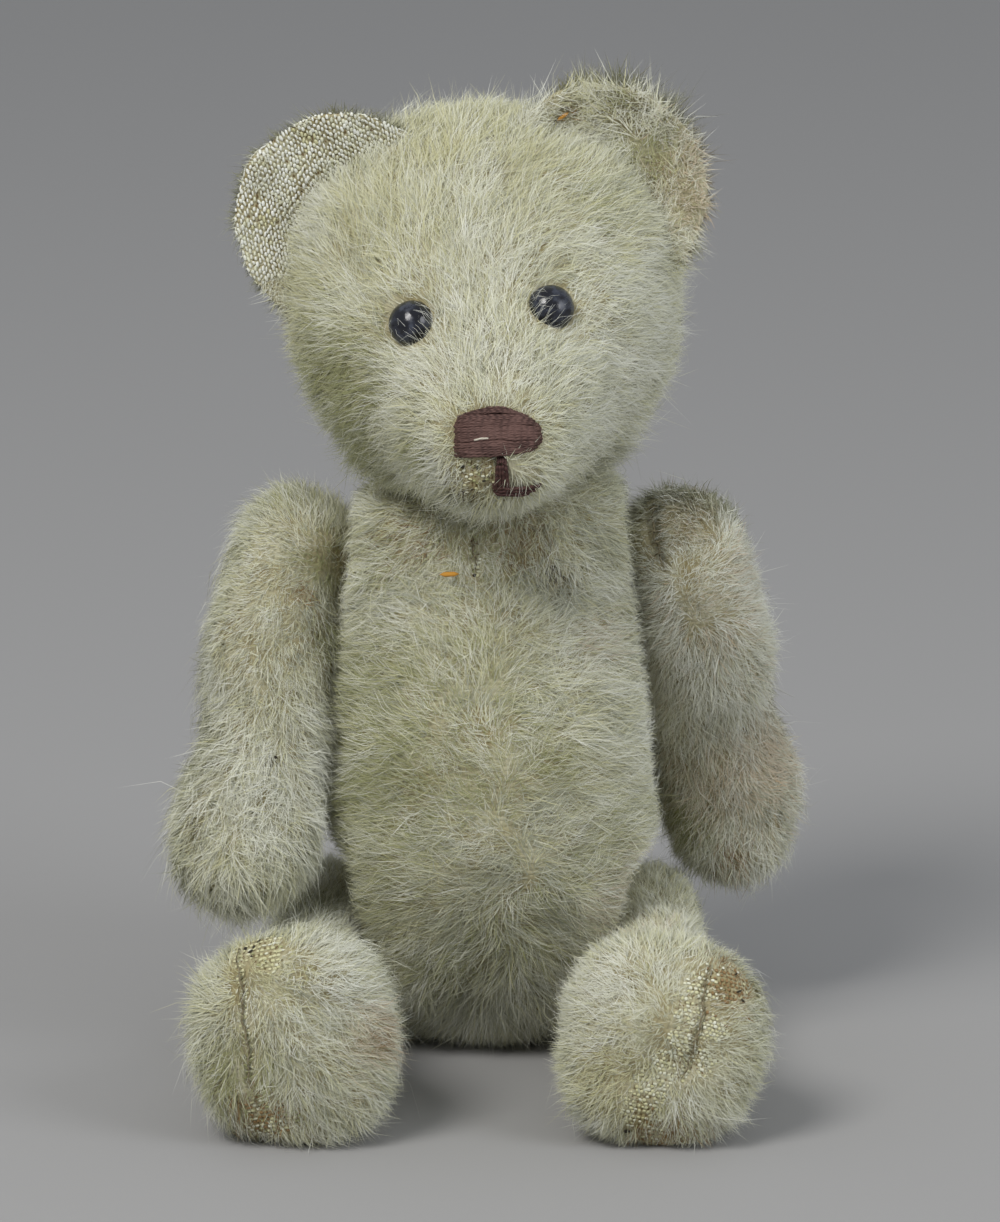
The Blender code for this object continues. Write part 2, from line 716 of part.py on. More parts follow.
def build_head():
    inner = {"sides": INNER_SIDES, "steps": INNER_STEPS}
    carrier = empty("neck_joint", NECK.frame)
    cover = add("head_cover", head_form(), "mohair", carrier)
    shape_with(cover, helper("head_hollow", head_form(COVER, **inner)))
    shape_with(cover, pin_hole(NECK, 1))
    stuffing = add("head_stuffing", head_form(STUFFING_INSET, **inner), "wood_wool", carrier)
    shape_with(stuffing, hardware_pocket(NECK, 1))
    add_disc_and_washer(NECK, 1, "head", carrier)
    clearance = helper("head_clearance", head_form(-GAP))
    thread_top = helper("thread_top", head_form(-GAP - THREAD))
    for side in ("left", "right"):
        build_eye(side, cover, stuffing, carrier)
        shape_with(add(f"ear_{side}", ear_disc(side), "mohair", carrier), clearance)
    add_thread("nose_stitching", nose_outline(), carrier, thread_top, clearance)
    add_thread("mouth_stitching", mouth_outline(), carrier, thread_top, clearance)


def main():
    for obj in list(bpy.data.objects):
        bpy.data.objects.remove(obj)
    build_torso()
    build_head()
    for side in ("left", "right"):
        build_limb(f"arm_{side}", ARM, SHOULDERS[side], arm_frame(side), 0.0)
        build_limb(f"leg_{side}", LEG, HIPS[side], leg_frame(side), FOOT_RELIEF)


main()
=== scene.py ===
"""The looks of a threadbare jointed teddy bear: worn mohair over cotton cloth, glass eyes, a sewn nose.

Metres, +Z up. The bear faces -Y, so its own left is at +X. Every skin is rebuilt from the same tables of
sizes as the part, with its pile modelled hair by hair. Places on the bear that are read off the photograph
are given in its pixels (1000 x 1222), and found on the skin by a ray from the camera.
"""

import collections
import json
import math

import bpy
import numpy as np
from mathutils import Matrix, Vector
from mathutils.bvhtree import BVHTree
from mathutils.kdtree import KDTree


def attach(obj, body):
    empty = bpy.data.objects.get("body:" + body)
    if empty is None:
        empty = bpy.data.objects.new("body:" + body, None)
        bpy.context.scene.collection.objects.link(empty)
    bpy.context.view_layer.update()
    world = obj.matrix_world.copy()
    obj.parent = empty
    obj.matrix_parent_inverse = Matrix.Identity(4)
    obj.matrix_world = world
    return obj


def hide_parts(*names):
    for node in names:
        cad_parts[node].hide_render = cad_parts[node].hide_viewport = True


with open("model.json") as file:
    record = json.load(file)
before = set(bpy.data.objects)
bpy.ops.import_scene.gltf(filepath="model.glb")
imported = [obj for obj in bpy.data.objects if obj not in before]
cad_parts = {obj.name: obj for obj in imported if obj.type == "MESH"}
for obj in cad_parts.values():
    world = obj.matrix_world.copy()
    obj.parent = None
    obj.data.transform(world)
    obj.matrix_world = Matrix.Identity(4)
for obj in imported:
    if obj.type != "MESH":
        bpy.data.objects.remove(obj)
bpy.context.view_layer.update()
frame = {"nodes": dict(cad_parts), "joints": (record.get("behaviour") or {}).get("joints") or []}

MM = 0.001

# Camera
PHOTO_WIDTH = 1000
PHOTO_HEIGHT = 1222
PIXELS_PER_MM = 9.09  # at the target
CAMERA_TARGET = Vector((0.0011, -0.0035, 0.0479))
CAMERA_DISTANCE = 0.700
CAMERA_ELEVATION = math.radians(13)
SENSOR = 36.0
FOCAL_PIXELS = PIXELS_PER_MM * CAMERA_DISTANCE / MM
CAMERA_BACK = Vector((0, -math.cos(CAMERA_ELEVATION), math.sin(CAMERA_ELEVATION)))
CAMERA_UP = Vector((0, math.sin(CAMERA_ELEVATION), math.cos(CAMERA_ELEVATION)))
CAMERA_PLACE = CAMERA_TARGET + CAMERA_BACK * CAMERA_DISTANCE

# The forms of the part: distance along, two half sizes, and where the middle lies
TORSO = (
    (-0.0030, 0.0, 0.0, 0.0, 0.0008),
    (0.0008, 0.0100, 0.0099, 0.0, 0.0004),
    (0.0040, 0.0134, 0.0130, 0.0, -0.0008),
    (0.0092, 0.0161, 0.0155, 0.0, -0.0026),
    (0.0200, 0.0178, 0.0176, 0.0003, -0.0042),
    (0.0330, 0.0177, 0.0170, 0.0004, -0.0044),
    (0.0460, 0.0171, 0.0146, 0.0, -0.0036),
    (0.0540, 0.0168, 0.0130, 0.0, -0.0032),
    (0.0605, 0.0142, 0.0108, 0.0004, -0.0030),
    (0.0645, 0.0080, 0.0066, 0.0006, -0.0030),
    (0.0660, 0.0, 0.0, 0.0006, -0.0030),
)
HEAD = (
    (-0.0185, 0.0, 0.0, 0.0, 0.0200),
    (-0.0160, 0.0102, 0.0106, 0.0, 0.0190),
    (-0.0090, 0.0173, 0.0182, 0.0, 0.0189),
    (0.0010, 0.0206, 0.0211, 0.0, 0.0193),
    (0.0090, 0.0190, 0.0189, 0.0, 0.0181),
    (0.0150, 0.0151, 0.0150, 0.0, 0.0154),
    (0.0200, 0.0112, 0.0108, 0.0, 0.0120),
    (0.0250, 0.0083, 0.0078, 0.0, 0.0095),
    (0.0285, 0.0056, 0.0052, 0.0003, 0.0088),
    (0.0300, 0.0, 0.0, 0.0004, 0.0086),
)
ARM = (
    (-0.0098, 0.0, 0.0, 0.0, 0.0056),
    (-0.0066, 0.0071, 0.0055, 0.0, 0.0057),
    (0.0, 0.0092, 0.0066, 0.0, 0.0062),
    (0.0090, 0.0086, 0.0071, 0.0, 0.0071),
    (0.0180, 0.0074, 0.0065, -0.0004, 0.0067),
    (0.0262, 0.0072, 0.0076, 0.0008, 0.0079),
    (0.0315, 0.0066, 0.0069, 0.0028, 0.0083),
    (0.0349, 0.0044, 0.0046, 0.0046, 0.0085),
    (0.0365, 0.0, 0.0, 0.0052, 0.0085),
)
LEG = (
    (-0.0086, 0.0, 0.0, 0.0, 0.0044),
    (-0.0058, 0.0063, 0.0043, 0.0, 0.0045),
    (0.0, 0.0080, 0.0050, 0.0, 0.0046),
    (0.0100, 0.0074, 0.0052, -0.0003, 0.0047),
    (0.0200, 0.0068, 0.0055, -0.0008, 0.0047),
    (0.0290, 0.0074, 0.0070, -0.0008, 0.0048),
    (0.0360, 0.0098, 0.0093, 0.0004, 0.0050),
    (0.0415, 0.0112, 0.0102, 0.0012, 0.0050),
    (0.0455, 0.0100, 0.0090, 0.0012, 0.0050),
    (0.0475, 0.0054, 0.0048, 0.0010, 0.0050),
    (0.0479, 0.0, 0.0, 0.0010, 0.0050),
)
NECK_REACH = 0.0125  # the head rests on the torso this far from the neck's axis
FULLNESS = 2.5
HEAD_FULLNESS = 2.15
JOWL_TAPER = 0.07
GAP = 0.0003
SKIN_INSET = 0.0001  # the cloth lies just inside the part's surface, and the pile stands out past it
ARM_SWING = {"left": math.radians(-22), "right": math.radians(22)}
BELLY_START, BELLY_FULL, BELLY_RELIEF = 0.0203, 0.0290, 0.0050
FOOT_START, FOOT_FULL, FOOT_RELIEF = 0.0220, 0.0340, 0.0080
EAR_RADIUS = 0.0116
EAR_THICKNESS = 0.0018
EAR_CUP = 0.0034
EAR_SIDE = 0.0138
EAR_HEIGHT = 0.0308
EAR_FORWARD = 0.0058

# Colours of the pile's hairs, by their place on a strip of tones
TONES = {
    "white": (0.02, (0.93, 0.94, 0.89)),
    "cream": (0.14, (0.865, 0.87, 0.72)),
    "straw": (0.26, (0.76, 0.74, 0.48)),
    "olive": (0.38, (0.43, 0.44, 0.22)),
    "grey": (0.50, (0.56, 0.58, 0.50)),
    "pink": (0.62, (0.76, 0.68, 0.56)),
    "orange": (0.74, (0.62, 0.30, 0.05)),
    "brown": (0.86, (0.33, 0.22, 0.11)),
    "dark": (0.98, (0.05, 0.045, 0.035)),
}
STRIP_HALF = 0.003  # half the width of one hair on the strip


# Small numeric helpers
def unit(vectors):
    """Each vector at length 1."""
    return vectors / np.maximum(np.linalg.norm(vectors, axis=-1, keepdims=True), 1e-12)


def dot(a, b):
    return np.sum(a * b, axis=-1)


def turned(first, second, angle):
    """Directions turned from the first towards the second."""
    return first * np.cos(angle)[:, None] + second * np.sin(angle)[:, None]


def path_steps(path):
    """How far along a path each of its points lies."""
    return np.concatenate([[0], np.cumsum(np.linalg.norm(np.diff(path, axis=0), axis=1))])


def smooth(start, end, value):
    """Rises smoothly from 0 at start to 1 at end."""
    t = np.clip((value - start) / (end - start), 0.0, 1.0)
    return t * t * (3 - 2 * t)


def waves(points, size, seed, count=14):
    """Smooth noise about 0, mostly within -1 and 1, with swellings of about this size."""
    rng = np.random.default_rng(seed)
    ways = unit(rng.normal(size=(count, 3))) * (rng.uniform(0.6, 1.5, (count, 1)) * 2 * math.pi / size)
    return np.sin(points @ ways.T + rng.uniform(0, 2 * math.pi, count)).sum(axis=1) / math.sqrt(count)


def in_world(points, matrix):
    """Points moved by a 4x4 matrix."""
    m = np.array(matrix)
    return points @ m[:3, :3].T + m[:3, 3]


def frame_of(origin, x_axis, y_axis, z_axis):
    matrix = Matrix.Identity(4)
    for column, axis in enumerate((x_axis, y_axis, z_axis, origin)):
        matrix.col[column][:3] = axis
    return matrix


# Joints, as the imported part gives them
JOINTS = {j["name"]: j for j in frame["joints"]}


def joint(name, sign=0):
    """A joint's place and its axis, turned to point out of the torso."""
    found = JOINTS[name]
    axis = Vector(found["axis"])
    if axis.x * sign < 0:
        axis.negate()
    return Vector(found["pos_m"]), axis


NECK, NECK_UP = joint("neck_turn")
SIGN = {"left": 1, "right": -1}
SHOULDERS = {side: joint(f"shoulder_{side}_turn", SIGN[side]) for side in SIGN}
HIPS = {side: joint(f"hip_{side}_turn", SIGN[side]) for side in SIGN}
HEAD_FRAME = frame_of(NECK, Vector((0, -1, 0)).cross(-NECK_UP), NECK_UP, Vector((0, -1, 0)))


def arm_frame(side):
    place, out = SHOULDERS[side]
    down = Vector((0, 1, 0)).cross(out) * SIGN[side]
    down = -down if down.z > 0 else down
    front = Vector((0, -1, 0))
    swing = ARM_SWING[side]
    along = down * math.cos(swing) + front * math.sin(swing)
    across = front * math.cos(swing) - down * math.sin(swing)
    return frame_of(place, across, out, along)


def leg_frame(side):
    place, out = HIPS[side]
    front = Vector((0, -1, 0))
    along = (front - out * front.dot(out)).normalized()
    up = along.cross(out)
    return frame_of(place, up if up.z > 0 else -up, out, along)


# Meshes
def joined(shapes):
    """Several shapes as one. Each is its points, its faces, and further rows for each point."""
    starts = np.cumsum([0] + [len(shape[0]) for shape in shapes])
    moved = [(points, faces + start, *rest) for (points, faces, *rest), start in zip(shapes, starts)]
    return tuple(np.vstack(column) for column in zip(*moved))


def new_object(name, data, place=None, back=None):
    """An object in the scene, at a place and with its back in a direction if they are given."""
    obj = bpy.data.objects.new(name, data)
    bpy.context.scene.collection.objects.link(obj)
    if place is not None:
        obj.location = place
        obj.rotation_mode = "QUATERNION"
        obj.rotation_quaternion = back.to_track_quat("Z", "Y")
    return obj


def mesh_from(name, points, faces, uv=None, uv_name="OFBake", normals=None):
    """A mesh from arrays. Faces is an array of triangles; uv has one row for each point."""
    mesh = bpy.data.meshes.new(name)
    points = np.asarray(points, np.float32)
    faces = np.asarray(faces, np.int32)
    mesh.vertices.add(len(points))
    mesh.vertices.foreach_set("co", points.ravel())
    mesh.loops.add(faces.size)
    mesh.loops.foreach_set("vertex_index", faces.ravel())
    mesh.polygons.add(len(faces))
    mesh.polygons.foreach_set("loop_start", np.arange(0, faces.size, 3, dtype=np.int32))
    if uv is not None:
        layer = mesh.uv_layers.new(name=uv_name)
        layer.data.foreach_set("uv", np.asarray(uv, np.float32)[faces.ravel()].ravel())
    mesh.update(calc_edges=True)
    mesh.shade_smooth()
    if normals is not None:
        mesh.normals_split_custom_set_from_vertices(np.asarray(normals, np.float32))
    return mesh


def place_piece(name, mesh, body, material, replaces=()):
    """One piece of the bear, riding a body, in place of the part's own nodes that it names."""
    obj = new_object(name, mesh)
    mesh.materials.append(material)
    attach(obj, body)
    if replaces:
        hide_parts(*replaces)
    return obj


def loft(rows, along, around, fullness=FULLNESS, taper=0.0, inset=SKIN_INSET):
    """A closed form through the rows, in its own axes: its points and its triangles."""
    rows = np.array(rows)
    ends = [rows[1].copy(), rows[-2].copy()]
    for end in ends:
        end[1:3] *= -1
    padded = np.vstack([ends[0], rows, ends[1]])
    t = np.linspace(0, len(rows) - 1, along + 1)
    start = np.minimum(t.astype(int), len(rows) - 2)
    u = (t - start)[:, None]
    p0, p1, p2, p3 = (padded[start + k] for k in range(4))
    square, cube = 2 * p0 - 5 * p1 + 4 * p2 - p3, 3 * (p1 - p2) + p3 - p0
    sizes = 0.5 * (2 * p1 + (p2 - p0) * u + square * u**2 + cube * u**3)
    s, a, b, ca, cb = sizes[1:-1].T[:, :, None]
    middle, reach = (rows[0, 0] + rows[-1, 0]) / 2, rows[-1, 0] - rows[0, 0]
    shrink = 1 - 2 * inset / reach
    angle = 2 * math.pi * (np.arange(around) + 0.5) / around
    c, d = np.cos(angle), np.sin(angle)
    across = np.sign(c) * np.abs(c) ** (2 / fullness)
    upward = np.sign(d) * np.abs(d) ** (2 / fullness)
    a, b = np.maximum(a - inset, 0.0002), np.maximum(b - inset, 0.0002)
    x = ca + a * across * (1 + taper * upward)
    y = cb + b * upward
    z = middle + (s - middle) * shrink + 0 * angle
    ends = [(sizes[k, 3], sizes[k, 4], middle + (sizes[k, 0] - middle) * shrink) for k in (0, -1)]
    points = np.vstack([ends[0], np.stack([x, y, z], axis=-1).reshape(-1, 3), ends[1]])
    return points, tube_faces(along - 1, around)


def tube_faces(rings, around):
    """Triangles of a tube with a point at each end: point 0, the rings, and the last point."""
    k = np.arange(around)
    after = (k + 1) % around
    faces = [np.stack([0 * k, 1 + after, 1 + k], axis=1)]
    for ring in range(rings - 1):
        low, high = 1 + ring * around, 1 + (ring + 1) * around
        faces.append(np.stack([low + k, low + after, high + after], axis=1))
        faces.append(np.stack([low + k, high + after, high + k], axis=1))
    last = 1 + (rings - 1) * around
    faces.append(np.stack([last + k, last + after, 0 * k + 1 + rings * around], axis=1))
    return np.vstack(faces)


def vertex_normals(points, faces):
    corner = points[faces]
    face_normals = np.cross(corner[:, 1] - corner[:, 0], corner[:, 2] - corner[:, 0])
    normals = np.zeros_like(points)
    for k in range(3):
        np.add.at(normals, faces[:, k], face_normals)
    return unit(normals)


# Skins
class Skin:
    """One body's cloth: its points, triangles, outward normals, and a tree to find places on it."""

    def __init__(self, points, faces, matrix):
        self.points = points
        self.faces = faces
        normals = vertex_normals(points, faces)
        corner = points[faces] - points.mean(axis=0)
        if np.sum(dot(corner[:, 0], np.cross(corner[:, 1], corner[:, 2]))) < 0:
            self.faces = faces[:, ::-1].copy()
            normals = -normals
        self.normals = normals
        self.matrix = matrix
        self.inverse = np.linalg.inv(np.array(matrix))
        self.tree = BVHTree.FromPolygons(points.tolist(), self.faces.tolist())

    def own(self, points):
        """Points in the form's own axes."""
        return in_world(points, self.inverse)

    def at_pixel(self, px, py):
        """The place and normal on this skin that the photograph shows at a pixel."""
        way = -CAMERA_BACK * FOCAL_PIXELS + Vector((1, 0, 0)) * (px - PHOTO_WIDTH / 2)
        way = (way - CAMERA_UP * (py - PHOTO_HEIGHT / 2)).normalized()
        place, normal, _, _ = self.tree.ray_cast(CAMERA_PLACE, way)
        if place is None:
            reach = (Vector(self.points.mean(axis=0)) - CAMERA_PLACE).dot(way)
            place, normal, _, _ = self.tree.find_nearest(CAMERA_PLACE + way * reach)
        return place, normal, way

    def way_at_pixel(self, px, py, degrees):
        """A place, and the direction along the skin that looks like this angle in the photograph."""
        place, normal, way = self.at_pixel(px, py)
        angle = math.radians(degrees)
        drawn = Vector((1, 0, 0)) * math.cos(angle) + CAMERA_UP * math.sin(angle)
        facing = way.dot(normal)
        if abs(facing) > 0.25:
            drawn = drawn - way * (drawn.dot(normal) / facing)
        return np.array(place), np.array(drawn.normalized())


def lumps(points, normals, amount, size, seed):
    """The uneven filling under the cloth."""
    return points + normals * (amount * waves(points, size, seed))[:, None]


def pull_back(over, extra):
    """How far to press back what is this far past a face. Pile may pass it, ever less, by up to extra."""
    over = np.maximum(over, 0.0)
    extra = np.maximum(extra, 1e-9)
    return over - extra * (1 - np.exp(-over / extra))


def past_planes(points, planes):
    """How far points are past each plane, given as (point, outward normal)."""
    return [((points - np.array(place)) @ np.array(out) + GAP / 2, np.array(out)) for place, out in planes]


def past_hip(points, place, out):
    """How far points of the torso's lower side are past the leg's inner face."""
    over = ((points - np.array(place)) @ np.array(out) + GAP / 2) / abs(out[0])
    return over - BELLY_RELIEF * smooth(BELLY_START, BELLY_FULL, points[:, 2])


def past_face(own, relief):
    """How far points of a limb, in its own axes, are past its flat inner face."""
    return GAP / 2 - relief * smooth(FOOT_START, FOOT_FULL, own[:, 2]) - own[:, 1]


def past_neck(points):
    """How far points of the head are past the neck's plane, near the neck."""
    up = np.array(NECK_UP)
    offset = points - np.array(NECK)
    height = offset @ up
    across = np.linalg.norm(offset - height[:, None] * up, axis=1)
    return np.where(across < NECK_REACH, GAP / 2 - height, -1.0)


def on_floor(points, height=0.00015):
    points = points.copy()
    points[:, 2] = np.maximum(points[:, 2], height)
    return points


def torso_limits(points, extra=0.0):
    """The torso, flat against the legs, the arms and the head."""
    points = points.copy()
    for place, out in HIPS.values():
        points[:, 0] -= np.sign(out[0]) * pull_back(past_hip(points, place, out), extra)
    for plane in (*SHOULDERS.values(), (NECK, NECK_UP)):
        over, out = past_planes(points, [plane])[0]
        points = points - pull_back(over, extra)[:, None] * out
    return on_floor(points)


def head_limits(points, extra=0.0):
    """Nothing of the head goes below the neck's plane near the neck."""
    return points + pull_back(past_neck(points), extra)[:, None] * np.array(NECK_UP)


def limb_limits(matrix, relief):
    inverse = np.linalg.inv(np.array(matrix))

    def limits(points, extra=0.0):
        own = in_world(points, inverse)
        own[:, 1] += pull_back(past_face(own, relief), extra)
        return on_floor(in_world(own, matrix))

    return limits


def build_skin(rows, along, around, matrix, limits, seed, fullness=FULLNESS, taper=0.0, roughness=0.00022):
    points, faces = loft(rows, along, around, fullness, taper)
    points = in_world(points, matrix)
    normals = vertex_normals(points, faces)
    if np.sum(dot(normals, points - points.mean(axis=0))) < 0:
        normals = -normals
    points = lumps(points, normals, roughness, 0.010, seed)
    points = lumps(points, normals, roughness * 0.4, 0.0035, seed + 1)
    return Skin(limits(points), faces, matrix)


FRAMES = {
    "torso": Matrix.Identity(4),
    "head": HEAD_FRAME,
    "arm_left": arm_frame("left"),
    "arm_right": arm_frame("right"),
    "leg_left": leg_frame("left"),
    "leg_right": leg_frame("right"),
    "ear_left": HEAD_FRAME,
    "ear_right": HEAD_FRAME,
}
LIMITS = {
    "torso": torso_limits,
    "head": head_limits,
    "arm_left": limb_limits(FRAMES["arm_left"], 0.0),
    "arm_right": limb_limits(FRAMES["arm_right"], 0.0),
    "leg_left": limb_limits(FRAMES["leg_left"], FOOT_RELIEF),
    "leg_right": limb_limits(FRAMES["leg_right"], FOOT_RELIEF),
    "ear_left": lambda points, extra=0.0: points,
    "ear_right": lambda points, extra=0.0: points,
}


def build_ear(side, rings=26, around=104):
    """A cupped disc of doubled cloth with a rounded rim, hollow side forward."""
    angle = 2 * math.pi * np.arange(around) / around
    layers = []
    for face, steps in ((1, range(0, rings + 1)), (-1, range(rings - 1, -1, -1))):
        for step in steps:
            share = math.sin(math.pi / 2 * step / rings)
            half = EAR_THICKNESS / 2 * math.sqrt(max(1 - share**4, 0))
            depth = EAR_FORWARD - EAR_CUP * (1 - share**2) + face * half
            radius = EAR_RADIUS * share
            x, y = SIGN[side] * EAR_SIDE + radius * np.cos(angle), EAR_HEIGHT + radius * np.sin(angle)
            layers.append(np.column_stack([x, y, np.full(around, depth)]))
    points = np.vstack([layers[0][:1], *layers[1:-1], layers[-1][:1]])
    faces = tube_faces(len(layers) - 2, around)
    points = in_world(points, HEAD_FRAME)
    normals = vertex_normals(points, faces)
    return Skin(lumps(points, normals, 0.00018, 0.006, 71 + SIGN[side]), faces, HEAD_FRAME)


SKINS = {
    "torso": build_skin(TORSO, 92, 140, FRAMES["torso"], torso_limits, 11),
    "head": build_skin(HEAD, 90, 144, HEAD_FRAME, head_limits, 21, HEAD_FULLNESS, JOWL_TAPER),
    "arm_left": build_skin(ARM, 84, 84, FRAMES["arm_left"], LIMITS["arm_left"], 31),
    "arm_right": build_skin(ARM, 84, 84, FRAMES["arm_right"], LIMITS["arm_right"], 41),
    "leg_left": build_skin(LEG, 96, 96, FRAMES["leg_left"], LIMITS["leg_left"], 51),
    "leg_right": build_skin(LEG, 96, 96, FRAMES["leg_right"], LIMITS["leg_right"], 61),
    "ear_left": build_ear("left"),
    "ear_right": build_ear("right"),
}

# Seams that show: pixels along them, how deep the cloth is drawn in, and how wide, in mm
SEAMS = {
    "torso": (((474, 536), (473, 552), (475, 572)), 0.55, 0.40),
    "arm_left": (((652, 502), (654, 522), (657, 545), (661, 566)), 1.0, 0.5),
    "leg_left": (((709, 966), (704, 1000), (698, 1030), (694, 1052), (681, 1078)), 0.6, 0.4),
    "leg_right": (((238, 945), (239, 965), (242, 1000), (245, 1030), (250, 1075), (256, 1108)), 0.6, 0.4),
    "ear_left": (((548, 128), (560, 117), (575, 106)), 0.5, 0.6),
    "ear_right": (((322, 206), (340, 196), (362, 178)), 0.6, 0.7),
}


def along_seam(body, spacing=0.4):
    """Places and normals along a body's seam, evenly spaced."""
    pixels = np.array(SEAMS[body][0], float)
    steps = path_steps(pixels)
    count = max(int(steps[-1] / PIXELS_PER_MM / spacing), 2)
    at = np.linspace(0, steps[-1], count + 1)
    wander = 1.6 * np.sin(at * 0.11 + len(body)) + 0.9 * np.sin(at * 0.31)
    path = zip(np.interp(at, steps, pixels[:, 0]) + wander, np.interp(at, steps, pixels[:, 1]))
    found = [SKINS[body].at_pixel(x, y)[:2] for x, y in path]
    return np.array([place for place, _ in found]), np.array([normal for _, normal in found])


def pixel_of(points):
    """Where the photograph shows each point: across and down, in pixels."""
    offset = points - np.array(CAMERA_PLACE)
    depth = -(offset @ np.array(CAMERA_BACK))
    across = offset[:, 0] / depth * FOCAL_PIXELS + PHOTO_WIDTH / 2
    return across, PHOTO_HEIGHT / 2 - offset @ np.array(CAMERA_UP) / depth * FOCAL_PIXELS


def nearest(points, places):
    """How far each point is from the nearest of some places."""
    return np.sqrt(np.min([dot(points - place, points - place) for place in places], axis=0))


SEAM_LINES = {body: along_seam(body) for body in SEAMS}
for body, (line, _) in SEAM_LINES.items():
    skin, (_, depth, width) = SKINS[body], SEAMS[body]
    sunk = depth * MM * np.exp(-((nearest(skin.points, line) / (width * MM)) ** 2))
    SKINS[body] = Skin(skin.points - skin.normals * sunk[:, None], skin.faces, skin.matrix)


# The nose and the mouth: where each row starts and ends, in pixels, as (down, left, right)
NOSE_ROWS = (
    (409, 484, 508), (412, 473, 517), (415, 462, 524), (418.5, 457, 530), (422, 455, 534), (425.5, 455, 537),
    (429, 455, 539.5), (432.5, 455, 541), (436, 455, 541.5), (439.5, 455, 541.5), (443, 455, 541),
    (446.5, 455, 540), (450, 455, 537), (453.5, 455.5, 533), (457, 456.5, 510),
)
NOSE_SLOPE = 0.05  # the lower rows climb this much towards the bear's left
NOSE_SPACING = 1.7
NOSE_THREAD = 0.00018
THREAD_RADIUS = 0.00023
MOUTH_ROWS = (
    (457, 497, 505), (466, 495, 507), (475, 494, 508), (479, 493, 511), (482, 492, 540), (487, 492, 539),
    (491, 493, 520),
)
MOUTH_THREADS = (
    ((499, 457), (498, 470), (495, 488)),
    ((501, 457), (501, 470), (499, 489)),
    ((503, 457), (504, 470), (503, 488)),
    ((505, 459), (507, 472), (508, 487)),
    ((493, 484), (508, 485), (525, 485), (541, 481)),
    ((493, 487), (508, 488), (524, 488), (537, 485)),
    ((494, 490), (506, 491), (520, 491), (530, 489)),
)


def in_rows(across, down, rows):
    """Whether each place lies within an outline given row by row."""
    table = np.array(rows)
    left, right = (np.interp(down, table[:, 0], table[:, k]) for k in (1, 2))
    return (down > table[0, 0]) & (down < table[-1, 0]) & (across > left + 1) & (across < right - 1)


# Eyes
EYE_RADIUS = 0.0025
EYE_SIDE = 0.0075
EYE_HEIGHT = 0.0213
EYE_DOME = 0.0023
EYE_SUNK = 0.0003


def eye_frame(side):
    """The eye's place on the head's cloth, with z straight out."""
    ray = HEAD_FRAME @ Vector((SIGN[side] * EYE_SIDE, EYE_HEIGHT, 0.05))
    place, normal, _, _ = SKINS["head"].tree.ray_cast(ray, HEAD_FRAME.to_3x3() @ Vector((0, 0, -1)))
    across = Vector((0, 0, 1)).cross(normal).normalized()
    return frame_of(place, across, normal.cross(across), normal)


EYE_FRAMES = {side: eye_frame(side) for side in SIGN}


def over_eyes(points, margin=0.0002):
    """Whether each point is in front of an eye."""
    found = np.zeros(len(points), bool)
    for matrix in EYE_FRAMES.values():
        own = in_world(points, np.linalg.inv(np.array(matrix)))
        near = np.hypot(own[:, 0], own[:, 1]) < EYE_RADIUS + margin
        found |= near & (np.abs(own[:, 2]) < 0.006)
    return found


